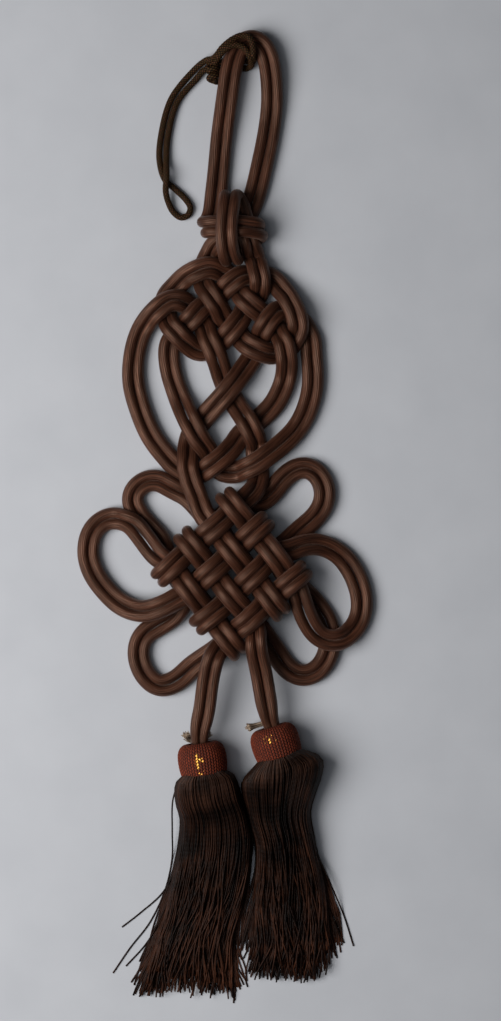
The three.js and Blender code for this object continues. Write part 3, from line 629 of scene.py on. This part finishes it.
class Graph:
    """A material's nodes. An input is a number, a colour or the socket that it is linked from, and its
    name is the socket's own, or _ and the socket's place."""

    def __init__(self, name):
        self.material = bpy.data.materials.new(name)
        self.material.use_nodes = True
        self.tree = self.material.node_tree
        self.shader = self.tree.nodes["Principled BSDF"]

    def set(self, node, **inputs):
        for key, value in inputs.items():
            socket = node.inputs[int(key[1:]) if key[1:].isdigit() else key.replace("_", " ")]
            if isinstance(value, bpy.types.NodeSocket):
                self.tree.links.new(value, socket)
            else:
                socket.default_value = value
        return node

    def add(self, kind, settings=None, **inputs):
        node = self.tree.nodes.new(kind)
        for key, value in (settings or {}).items():
            setattr(node, key, value)
        return self.set(node, **inputs)

    def math(self, operation, a, b=0.0):
        return self.add("ShaderNodeMath", {"operation": operation}, _0=a, _1=b).outputs[0]

    def value(self, name):
        return self.add("ShaderNodeAttribute", {"attribute_name": name}).outputs["Fac"]

    def lay(self):
        """The cosine and sine of the angle round a cord, and metres along it."""
        vector = self.add("ShaderNodeAttribute", {"attribute_name": "lay"}).outputs["Vector"]
        return self.add("ShaderNodeSeparateXYZ", _0=vector).outputs

    def combine(self, x, y, z):
        return self.add("ShaderNodeCombineXYZ", _0=x, _1=y, _2=z).outputs[0]

    def position(self):
        return self.add("ShaderNodeTexCoord").outputs["Object"]

    def noise(self, vector, scale, detail=2.0, roughness=0.5):
        node = self.add("ShaderNodeTexNoise", Vector=vector, Scale=scale, Detail=detail, Roughness=roughness)
        return node.outputs["Fac"]

    def ramp(self, factor, stops):
        node = self.add("ShaderNodeValToRGB", _0=factor)
        elements = node.color_ramp.elements
        while len(elements) < len(stops):
            elements.new(0.5)
        for element, (position, colour) in zip(elements, stops):
            element.position = position
            element.color = (*colour, 1)
        return node.outputs["Color"]

    def range(self, value, low, high, to_low=0.0, to_high=1.0):
        return self.add("ShaderNodeMapRange", _0=value, _1=low, _2=high, _3=to_low, _4=to_high).outputs[0]

    def bump(self, height, distance, strength):
        return self.add("ShaderNodeBump", Height=height, Distance=distance, Strength=strength).outputs[0]

    def scale(self, colour, factor):
        return self.add("ShaderNodeVectorMath", {"operation": "SCALE"}, _0=colour, Scale=factor).outputs[0]

    def mix(self, factor, a, b):
        return self.add("ShaderNodeMix", {"data_type": "RGBA"}, _0=factor, _6=a, _7=b).outputs[2]

    def finish(self, **inputs):
        self.set(self.shader, **inputs)
        return self.material


SATIN_RIBS = 20  # fine threads that show round a satin cord
SATIN_LEAD = 0.30  # metres along the cord for one turn of them
STREAKS_ROUND = 3.6  # how often streaks change round the cord
STREAKS_ALONG = 45.0  # and along it


def satin_material():
    graph = Graph("satin_cord")
    cosine, sine, along = graph.lay()
    angle = graph.math("ARCTAN2", sine, cosine)
    turns = graph.math("MULTIPLY", along, math.tau * SATIN_RIBS / SATIN_LEAD)
    ribs = graph.math("SINE", graph.math("ADD", graph.math("MULTIPLY", angle, SATIN_RIBS), turns))
    streak_at = graph.combine(
        graph.math("MULTIPLY", cosine, STREAKS_ROUND),
        graph.math("MULTIPLY", sine, STREAKS_ROUND),
        graph.math("MULTIPLY", along, STREAKS_ALONG),
    )
    streaks = graph.noise(streak_at, 1.6, 4.0, 0.6)
    patches = graph.noise(graph.position(), 55.0, 3.0)
    dark, middle, light = (0.011, 0.0034, 0.0017), (0.044, 0.0150, 0.0080), (0.110, 0.042, 0.0240)
    colour = graph.ramp(streaks, [(0.34, dark), (0.50, middle), (0.68, light)])
    shade = graph.range(patches, 0.35, 0.65, 0.85, 1.15)
    height = graph.math("ADD", graph.math("MULTIPLY", ribs, 0.5), graph.math("MULTIPLY", streaks, 1.6))
    return graph.finish(
        Base_Color=graph.scale(colour, shade),
        Roughness=graph.range(streaks, 0.3, 0.7, 0.46, 0.34),
        Specular_IOR_Level=0.50,
        Specular_Tint=(1.0, 0.62, 0.46, 1),
        Sheen_Weight=0.22,
        Sheen_Roughness=0.35,
        Sheen_Tint=(0.75, 0.50, 0.40, 1),
        Normal=graph.bump(height, 0.0001, 0.9),
    )


# Colours of the braid's olive and reddish strands by their relief: near black in the grooves between
# strands, painted shade, and lightest on the strands' crowns, painted highlight
BRAID_OLIVE_SHADED = [(0.45, (0.003, 0.0014, 0.0005)), (0.8, (0.038, 0.019, 0.0065)), (1.0, (0.120, 0.066, 0.024))]
BRAID_RED_SHADED = [(0.45, (0.004, 0.0015, 0.0006)), (0.8, (0.055, 0.021, 0.009)), (1.0, (0.180, 0.085, 0.040))]


def braid_material():
    graph = Graph("hanger_braid")
    relief, fleck = graph.value("relief"), graph.value("fleck")
    fibres = graph.noise(graph.position(), 2600.0, 2.0)
    return graph.finish(
        Base_Color=graph.mix(fleck, graph.ramp(relief, BRAID_OLIVE_SHADED), graph.ramp(relief, BRAID_RED_SHADED)),
        Roughness=0.7,
        Specular_IOR_Level=0.1,
        Normal=graph.bump(fibres, 0.00008, 0.6),
    )


GOLD_COLOUR = (1.0, 0.50, 0.10, 1)


def cap_material():
    graph = Graph("cap_weave")
    relief, gold_glint = graph.value("relief"), graph.value("gold_glint")
    fibres = graph.noise(graph.position(), 2200.0, 2.0)
    dark, middle, light = (0.005, 0.0008, 0.0004), (0.090, 0.0125, 0.0042), (0.185, 0.032, 0.0100)
    # The weave's colour follows its relief: near black in the holes between stitches, painted shade, and
    # lightest on the stitches' crowns, painted highlight
    rust_shaded = graph.ramp(relief, [(0.1, dark), (0.5, middle), (1.0, light)])
    shade = graph.range(graph.value("shade"), 0.0, 1.0, 0.75, 1.15)
    return graph.finish(
        # The gold, metallic and orange, lies only where the glints are painted
        Base_Color=graph.mix(gold_glint, graph.scale(rust_shaded, shade), GOLD_COLOUR),
        Metallic=gold_glint,
        Specular_IOR_Level=0.25,
        Roughness=graph.range(gold_glint, 0.0, 1.0, 0.75, 0.38),
        Normal=graph.bump(fibres, 0.00006, 0.4),
    )


THREAD_TWIST = 0.0022  # metres to one turn
# Threads are lighter on the skirt's shoulder, a painted sheen, darkest at its neck below it, painted shade,
# and brown at their ends
SHOULDER_SHEEN_COLOURS = [(0.1, (0.011, 0.0048, 0.0029)), (0.9, (0.050, 0.0220, 0.0132))]
NECK_SHADE_COLOURS = [(0.1, (0.002, 0.0006, 0.0003)), (0.9, (0.026, 0.0100, 0.0055))]
END_COLOURS = [(0.1, (0.006, 0.0018, 0.0009)), (0.9, (0.066, 0.0235, 0.0118))]


def thread_material():
    graph = Graph("tassel_thread")
    strand = graph.value("strand")
    _, _, along = graph.lay()
    twist = graph.math("SINE", graph.math("MULTIPLY", along, math.tau / THREAD_TWIST))
    shoulder = graph.ramp(strand, SHOULDER_SHEEN_COLOURS)
    neck = graph.ramp(strand, NECK_SHADE_COLOURS)
    # From the root, the threads go from the shoulder's painted sheen to the neck's painted shade
    near_root = graph.mix(graph.range(along, 0.007, 0.021), shoulder, neck)
    near_tip = graph.ramp(strand, END_COLOURS)
    colour = graph.mix(graph.range(along, 0.04, 0.10), near_root, near_tip)
    patches = graph.range(graph.noise(graph.position(), 95.0, 3.0), 0.36, 0.64, 0.35, 1.45)
    return graph.finish(
        Base_Color=graph.scale(colour, patches),
        Roughness=0.45,
        Specular_IOR_Level=0.12,
        Normal=graph.bump(twist, 0.00003, 0.6),
    )


def tie_material():
    graph = Graph("tie_cord")
    fibres = graph.noise(graph.position(), 900.0, 3.0)
    strands = graph.math("MULTIPLY", graph.value("strand"), 0.6)
    tone = graph.math("ADD", strands, graph.math("MULTIPLY", fibres, 0.4))
    colour = graph.ramp(tone, [(0.2, (0.13, 0.085, 0.055)), (0.8, (0.52, 0.40, 0.29))])
    return graph.finish(Base_Color=colour, Roughness=0.8, Normal=graph.bump(fibres, 0.0001, 0.6))


def floor_material():
    graph = Graph("plain_floor")
    grain = graph.noise(graph.position(), 30.0, 4.0)
    colour = graph.ramp(grain, [(0.3, (0.55, 0.57, 0.61)), (0.7, (0.59, 0.61, 0.65))])
    return graph.finish(Base_Color=colour, Roughness=0.55)


# Braided hanger

BRAID_STRANDS = 6  # each way round
BRAID_PITCH = 1.45  # along the cord from one crossing to the next
BRAID_DEPTH = 0.2  # of the relief, as a share of the radius
BRAID_ROUND = 0.6  # power of a strand's round top
BRAID_ENDS = 0.55  # relief where a strand dives under the next
BRAID_SIDES = 36
BRAID_STEP = 0.16
RED_EVERY = 4  # of the strands one is reddish
RED_STRAND = 6  # and this one too


def braid(angles, alongs):
    """A round braid's relief from 0 to 1, and which of its strands lies on top."""
    u = BRAID_STRANDS * angles / math.tau + alongs / BRAID_PITCH
    v = BRAID_STRANDS * angles / math.tau - alongs / BRAID_PITCH
    over = (np.floor(u) + np.floor(v)) % 2 == 0
    across = np.where(over, u, v) % 1
    length = np.where(over, v, u) % 1
    strand = np.where(over, np.floor(u) % BRAID_STRANDS, BRAID_STRANDS + np.floor(v) % BRAID_STRANDS)
    arch = BRAID_ENDS + (1 - BRAID_ENDS) * np.sin(math.pi * length)
    return np.sin(math.pi * across) ** BRAID_ROUND * arch, strand


def braided_tube(name, line, material, node):
    def radius_at(angles, alongs):
        return HANGER / 2 * (1 - BRAID_DEPTH + BRAID_DEPTH * braid(angles, alongs)[0])

    vertices, faces, _, angles, alongs = sweep(line, BRAID_SIDES, radius_at)
    relief, strand = braid(angles, alongs)
    reddish = (strand % RED_EVERY == 1) | (strand == RED_STRAND)
    values = {"relief": np.append(relief, [0, 0]), "fleck": np.append(reddish, [0, 0])}
    return make_piece(name, vertices, faces, material, node, values)


def fine_line(points, step):
    """A smooth line through points of photo x, photo y and z, in equal steps."""
    return in_steps(spline([place(*point) for point in points], LINE_STEPS), step)


def hanger_cord(material):
    line = fine_line(HANGER_ROUTE, BRAID_STEP)
    piece = braided_tube("hanger_cord_braid", line, material, "hanger_cord")


def hanger_knot(material):
    centre = place(*KNOT_CENTRE, HANGER / 2 + KNOT_RADIUS)
    turns = np.linspace(0, KNOT_TURNS, KNOT_TURNS * KNOT_STEPS + 1)
    angle = turns * math.tau
    rise = (KNOT_TURNS / 2 - turns) * KNOT_PITCH
    coil = centre + np.stack([KNOT_RADIUS * np.cos(angle), rise, KNOT_RADIUS * np.sin(angle)], axis=1)
    coil = in_steps(spline(coil, COIL_STEPS), BRAID_STEP)
    braided_tube("hanger_knot_coil", coil, material, "hanger_knot")
    for name, route in HITCH_ROUTES.items():
        braided_tube(f"hanger_wrap_{name}", fine_line(route, BRAID_STEP), material, "hanger_knot")


# Satin cords

SATIN_SIDES = 14
PRESSED_LENGTH = 15.0  # of a cord's end
PRESSED_TOGETHER = 0.34
PRESSED_THIN = 0.24
# The tight turns of the endless knot's body swell the cord, within this reach of its middle
BODY_SWELL = 0.055
BODY_REACH = 32.0
BODY_EASE = 8.0


def satin_cords(material):
    """Both cords; where they enter the caps they are tied together and pressed thinner."""
    chains = [spline(chain, 2) for chain in satin_lines()]
    middle = (chains[0] + chains[1]) / 2
    along = travelled(middle)
    pressed = smooth_step(1 - np.minimum(along, along[-1] - along) / PRESSED_LENGTH)
    for name, chain in zip(("first", "second"), chains):
        line = middle + (chain - middle) * (1 - PRESSED_TOGETHER * pressed)[:, None]
        from_body = np.linalg.norm((line - place(*LATTICE_CENTRE))[:, :2], axis=1)
        swell = 1 + BODY_SWELL * smooth_step((BODY_REACH - from_body) / BODY_EASE)
        radius = SATIN_DRAWN / 2 * (1 - PRESSED_THIN * pressed) * swell
        line[:, 2] = np.maximum(line[:, 2], radius)
        radii = np.repeat(radius[:, None], SATIN_SIDES, axis=1)
        vertices, faces, lay, _, _ = sweep(line, SATIN_SIDES, lambda angles, alongs: radii)
        vertices[:, 2] = np.maximum(vertices[:, 2], 0)
        make_piece(
            f"satin_cord_{name}", vertices, faces, material, "knotted_cord", {"lay": lay}
        )


# Caps

CAP_PROFILE = [  # depth below the cap's top, radius; from the mouth's lip over the barrel to the lower edge
    (2.6, 5.0), (1.2, 4.9), (0.25, 5.6), (0.0, 6.9), (0.55, 8.4), (1.8, 9.7), (3.8, 10.6), (6.6, 10.95),
    (9.4, 10.9), (11.9, 10.65), (13.4, 10.35), (14.0, 9.9),
]
CAP_LINING = [(13.6, 9.3), (11.0, 9.2), (4.0, 8.6), (2.9, 6.5)]
CAP_COLUMNS = 50  # of stitches round a cap; they lean by turns to one side and the other
CAP_STITCH = 1.4  # length of a stitch
CAP_LEAN = 0.45  # of a stitch, in its own lengths
CAP_RELIEF = 0.45
STITCH_ROUND = 0.25  # how far a stitch is lower at its sides and at its ends
STITCH_HOLE = 1.3  # and between four stitches
CAP_SIDES = 300
CAP_STEP = 0.17
CAP_CLEAR = 0.02  # between the cap and the surface
PROFILE_STEPS = 12
LINING_STEPS = 3
GOLD_SHADE = 0.45  # in a glint, stitches over this shade are gold
GOLD_RELIEF = 0.5  # where they are higher than this
# Gold thread is laid only where it catches the light, so its place paints the glints: depth below a cap's
# top, reach along it, radians from its upper line, reach round it
GLINTS = {"left": (8.3, 5.2, -0.12, 0.17), "right": (4.6, 1.7, -0.18, 0.30)}


def stitches(angles, alongs):
    """A knitted face: its relief from 0 to 1, and the number of each stitch's column and row."""
    column = angles / math.tau * CAP_COLUMNS
    number = np.floor(column)
    across = column - number
    lean = np.where(number % 2 == 0, 1, -1) * CAP_LEAN
    row = alongs / CAP_STITCH + (across - 0.5) * lean + number % 2 / 2
    beside = 1 - np.sin(math.pi * across)
    between = 1 - np.sin(math.pi * (row - np.floor(row)))
    relief = 1 - STITCH_ROUND * beside**2 - STITCH_ROUND * between**2
    relief -= STITCH_HOLE * np.sqrt(beside * between)
    return np.clip(relief, 0, 1), number, np.floor(row)


def scattered(column, row):
    """A number from 0 to 1 for each stitch, which looks random and is always the same."""
    return np.abs(np.sin(column * 12.9898 + row * 78.233) * 43758.5453) % 1


def cap(side, material):
    """A woven sleeve: a turned profile with the stitches raised on its outside."""
    down, across, top = cap_frame(side)
    outside = in_steps(spline(CAP_PROFILE, PROFILE_STEPS), CAP_STEP)
    profile = np.vstack([outside, spline(CAP_LINING, LINING_STEPS)])
    angle = np.arange(CAP_SIDES) / CAP_SIDES * math.tau
    angles, alongs = np.meshgrid(angle, travelled(profile))
    relief, column, row = stitches(angles, alongs)
    shown = (np.arange(len(profile)) < len(outside))[:, None]
    # The lining inside the mouth gets no relief, so it takes the weave's darkest colour: painted shade
    relief = relief * shown
    depth, down_reach, turn, round_reach = GLINTS[side]
    turned = (angles + math.pi) % math.tau - math.pi - turn
    reach = np.hypot((profile[:, :1] - depth) / down_reach, turned / round_reach)
    shade = scattered(column, row)
    # Stitches are gold only inside a glint, a painted glint; outside it the sleeve has no gold thread
    gold_glint = (reach < 1) & (shade > GOLD_SHADE) & (relief > GOLD_RELIEF)
    radius = (profile[:, 1:] + (relief - 1) * CAP_RELIEF * shown)[..., None]
    axis = top + down * profile[:, :1, None]
    rings = axis + radius * (across * np.sin(angles)[..., None] + UP * np.cos(angles)[..., None])
    rings[..., 2] = np.maximum(rings[..., 2], CAP_CLEAR)
    faces = []
    for ring in range(len(profile)):
        low, high = ring * CAP_SIDES, (ring + 1) % len(profile) * CAP_SIDES
        for spot in range(CAP_SIDES):
            after = (spot + 1) % CAP_SIDES
            faces.append((low + spot, high + spot, high + after, low + after))
    values = {"relief": relief.ravel(), "gold_glint": gold_glint.ravel(), "shade": shade.ravel()}
    make_piece(f"cap_{side}_weave", rings.reshape(-1, 3), faces, material, f"cap_{side}", values)


# Tassels


def strands_mesh(name, lines, diameter, material, node, shades):
    """Many thin four-sided strands as one mesh. lines is an array of strands, points and axes."""
    count, steps, _ = lines.shape
    tangents = unit(np.gradient(lines, axis=1))
    sides = unit(np.cross(tangents, UP) + [1e-9, 0, 0])  # never of no length, on an upright strand too
    lifts = np.cross(sides, tangents)
    lengths = np.linalg.norm(np.diff(lines, axis=1), axis=2)
    along = np.concatenate([np.zeros((count, 1)), np.cumsum(lengths, axis=1)], axis=1)
    corners = [sides, lifts, -sides, -lifts]
    rings = np.stack([lines + corner * diameter / 2 for corner in corners], axis=2)
    vertices = rings.reshape(-1, 3)
    ring = np.arange(4)
    quads = np.stack([ring, (ring + 1) % 4, (ring + 1) % 4 + 4, ring + 4], axis=1)
    offsets = (np.arange(count)[:, None] * steps + np.arange(steps - 1)).ravel() * 4
    faces = (offsets[:, None, None] + quads).reshape(-1, 4)
    ends = np.arange(count) * steps * 4
    lids = np.vstack([ends[:, None] + [3, 2, 1, 0], ends[:, None] + (steps - 1) * 4 + [0, 1, 2, 3]])
    lay = np.zeros((len(vertices), 3))
    lay[:, 2] = np.repeat(along.ravel(), 4) * MM
    values = {"strand": np.repeat(shades, steps * 4), "lay": lay}
    make_piece(name, vertices, np.vstack([faces, lids]).tolist(), material, node, values)


def skirt_rows(side):
    """Rows of the skirt from its root: x, y, half width, height, lowest z, roundness, turn."""
    down, _, top = cap_frame(side)
    rows = []
    for depth, half in ROOT_DEPTHS:
        middle = (top + down * depth) * [1, 1, 0]
        rows.append([*middle[:2], half, 2 * half, CAP_FLAT - half, 1.0, CAP_TURN[side]])
    given = SKIRT_ROWS[side]
    for number, (x, y, half, height, roundness) in enumerate(given):
        turn = CAP_TURN[side] * (1 - number / (len(given) - 1))
        rows.append([*place(x, y)[:2], half, height, 0.0, roundness, turn])
    return np.array(rows)


def eased(share, span):
    """From 0 to 1 over a part of a thread's length."""
    return smooth_step((share - span[0]) / (span[1] - span[0]))


def waves(random, count, turns):
    """A wave from -1 to 1 along each of that many threads."""
    turns = random.uniform(*turns, count)[:, None]
    share = np.linspace(0, 1, THREAD_STEPS + 1)
    return np.sin(math.tau * (turns * share + random.random(count)[:, None]))


def thread_homes(random):
    """Each thread's place across the skirt, from -1 to 1, its layer, all tufts' places, and its tuft."""
    loose = THREADS - SMOOTH_THREADS
    even = np.linspace(-1, 1, SMOOTH_THREADS) + random.normal(0, EVEN_ERROR, SMOOTH_THREADS)
    home = np.clip(np.concatenate([even, random.uniform(-1, 1, loose)]), -1, 1)
    top = random.uniform(TOP_LAYER, 1, SMOOTH_THREADS)
    layer = np.concatenate([top, TOP_LAYER * random.random(loose) ** INNER_LAYERS])
    tuft_home = np.linspace(-TUFT_SIDE, TUFT_SIDE, TUFTS) + random.normal(0, TUFT_ERROR / TUFTS, TUFTS)
    nearest = np.abs(home[:, None] - tuft_home).argmin(axis=1)
    tuft_of = np.clip(nearest + random.integers(-1, 2, THREADS), 0, TUFTS - 1)
    return home, layer, tuft_home, tuft_of


def thread_courses(home, tuft_home, tuft_of, share, random):
    """Where each thread is across the skirt: it gathers to its tuft and has a course of its own."""
    tuft_wave = TUFT_WAVE * eased(share, LOOSENING) * waves(random, TUFTS, TUFT_TURNS)[tuft_of]
    tuft_line = tuft_home[tuft_of, None] + tuft_wave
    gather = GATHER * eased(share, GATHERING) * random.uniform(0.5, 1, THREADS)[:, None]
    own = OWN_WAVE * eased(share, LOOSENING) * waves(random, THREADS, OWN_TURNS)
    for size, span in ((OWN_DRIFT, DRIFTING), (ROOT_DRIFT, OFF_ROOT), (TIP_SPLAY, SPLAYING)):
        own += size * random.normal(0, 1, THREADS)[:, None] * eased(share, span)
    course = home[:, None] + (tuft_line - home[:, None]) * gather + own
    return np.clip(course, -LOOSEST, LOOSEST)


def thread_heights(course, layer, height, roundness):
    """How high each thread lies: in a round bunch near the cap and in a flat heap near the ends."""
    inner = np.sqrt(1 - np.clip(np.abs(course), 0, 1) ** 2)
    in_bunch = height / 2 * (1 + (2 * layer - 1) * inner)
    in_heap = height * layer * inner**HEAP_ROUND
    return roundness * in_bunch + (1 - roundness) * in_heap


def tassel_piece(side, kind, lines, material, shades):
    strands_mesh(f"tassel_{side}_{kind}", lines, THREAD, material, f"tassel_{side}", shades)


def skirt(side, material, random):
    """A smooth layer of threads over looser ones, which gather into tufts towards their ends."""
    rows = spline(skirt_rows(side), SKIRT_STEPS)
    distance = travelled(rows[:, :2])
    home, layer, tuft_home, tuft_of = thread_homes(random)
    shortfall = TUFT_RAGGED * random.random(TUFTS)[tuft_of] + THREAD_RAGGED * random.random(THREADS) ** 2
    shortfall += SIDE_SHORTFALL[side] * home**2
    share = np.linspace(0, 1, THREAD_STEPS + 1) * (1 - shortfall[:, None])
    x, y, half, height, low, roundness, turn = (
        np.interp(share * distance[-1], distance, column) for column in rows.T
    )
    course = thread_courses(home, tuft_home, tuft_of, share, random)
    loosened = eased(share, LOOSENING)
    dive = LAYER_WAVE * loosened * (LAYER_SHIFT - waves(random, THREADS, LAYER_TURNS))
    layer = np.clip(layer[:, None] - dive, 0, 1)
    lift = 1 - TUFT_DIP * loosened * random.random(TUFTS)[tuft_of][:, None]
    z = np.maximum(low + thread_heights(course, layer, height, roundness) * lift, THREAD / 2)
    crowded = SIDE_ROUND * np.sin(np.clip(course, -1, 1) * math.pi / 2) + (1 - SIDE_ROUND) * course
    out = np.where(np.abs(course) > 1, course, crowded) * half
    turn = np.radians(turn)
    lines = np.stack([x + np.cos(turn) * out, y + np.sin(turn) * out, z], axis=2)
    tuft_shade = random.random(TUFTS)[tuft_of]
    shades = TUFT_SHADE * tuft_shade + (1 - TUFT_SHADE) * random.random(THREADS) ** DARKER
    tassel_piece(side, "threads", lines, material, shades)


def strays(side, material):
    """Threads that leave their skirt, come down and go on along the surface."""
    lines = []
    for route in STRAYS[side]:
        heights = np.linspace(STRAY_START, THREAD / 2, len(route))
        heights[STRAY_LIFTED:] = 0
        points = [place(x, y, z + THREAD / 2) for (x, y), z in zip(route, heights)]
        line = resample(spline(points, STRAY_STEPS), STRAY_PARTS)
        line[:, 2] = np.maximum(line[:, 2], THREAD / 2)
        lines.append(line)
    tassel_piece(side, "strays", np.array(lines), material, np.full(len(lines), STRAY_SHADE))


# Ties

TIE_FIBRES = 60
TIE_FIBRE = 0.34  # fibre diameter
TIE_FLARE = 1.7  # how much wider than itself a tie frays at its ends
FRAY_LENGTH = 2.6


def ties(material, random):
    """Each tie is a bundle of fibres that frays at both cut ends."""
    for side, route in TIE_ROUTE.items():
        line = fine_line(route, 0.5)
        normals, seconds = sweep_frames(line)
        along = travelled(line)
        from_end = np.minimum(along, along[-1] - along)
        angle = random.uniform(0, math.tau, TIE_FIBRES)[:, None, None]
        out = np.sqrt(random.random(TIE_FIBRES))[:, None, None] * (TIE - TIE_FIBRE) / 2
        flare = TIE_FLARE * np.exp(-from_end / FRAY_LENGTH)[:, None]
        flare = 1 + flare * random.random((TIE_FIBRES, 1, 1))
        lines = line + out * flare * (np.cos(angle) * normals + np.sin(angle) * seconds)
        shades = random.random(TIE_FIBRES)
        strands_mesh(f"tie_{side}_cord", lines, TIE_FIBRE, material, f"tie_{side}", shades)


# Surroundings, in metres and watts

FLOOR_HALF = 3.0
LIGHTS = {  # where each is, its size, power and colour
    "key": [(-0.72, -0.10, 0.80), 0.85, 12.1, (1.0, 0.98, 0.96)],
    "fill": [(-0.15, -0.10, 1.10), 0.60, 0.9, (0.92, 0.95, 1.0)],
}
SKY_COLOUR = (0.90, 0.93, 1.0, 1)
SKY_STRENGTH = 0.035


def make_camera():
    data = bpy.data.cameras.new("camera")
    data.sensor_width = SENSOR
    data.lens = SENSOR * CAMERA_HEIGHT / (PHOTO_SIZE[1] * PHOTO_SCALE)
    camera = put("camera", data)
    camera.location = place(PHOTO_SIZE[0] / 2, PHOTO_SIZE[1] / 2, CAMERA_HEIGHT) * MM
    bpy.context.scene.camera = camera


def make_floor():
    mesh = bpy.data.meshes.new("floor")
    corners = [(FLOOR_HALF * x, FLOOR_HALF * y, 0) for x, y in ((-1, -1), (1, -1), (1, 1), (-1, 1))]
    mesh.from_pydata(corners, [], [(0, 1, 2, 3)])
    mesh.materials.append(floor_material())
    put("floor", mesh)


def make_lights():
    for name, (location, size, energy, colour) in LIGHTS.items():
        data = bpy.data.lights.new(name, "AREA")
        data.shape = "DISK"
        data.size = size
        data.energy = energy
        data.color = colour
        light = put(name, data)
        light.location = location
        light.rotation_euler = (-Vector(location)).to_track_quat("-Z", "Y").to_euler()
    world = bpy.data.worlds.new("soft")
    world.use_nodes = True
    background = world.node_tree.nodes["Background"]
    background.inputs["Color"].default_value = SKY_COLOUR
    background.inputs["Strength"].default_value = SKY_STRENGTH
    bpy.context.scene.world = world
    bpy.context.scene.view_settings.view_transform = "Standard"


make_camera()
braid_look = braid_material()
hanger_cord(braid_look)
hanger_knot(braid_look)
satin_cords(satin_material())
cap_look = cap_material()
thread_look = thread_material()
for tassel_side, seed in TASSEL_SEEDS.items():
    cap(tassel_side, cap_look)
    skirt(tassel_side, thread_look, np.random.default_rng(seed))
    strays(tassel_side, thread_look)
ties(tie_material(), np.random.default_rng(TIE_SEED))
make_floor()
make_lights()
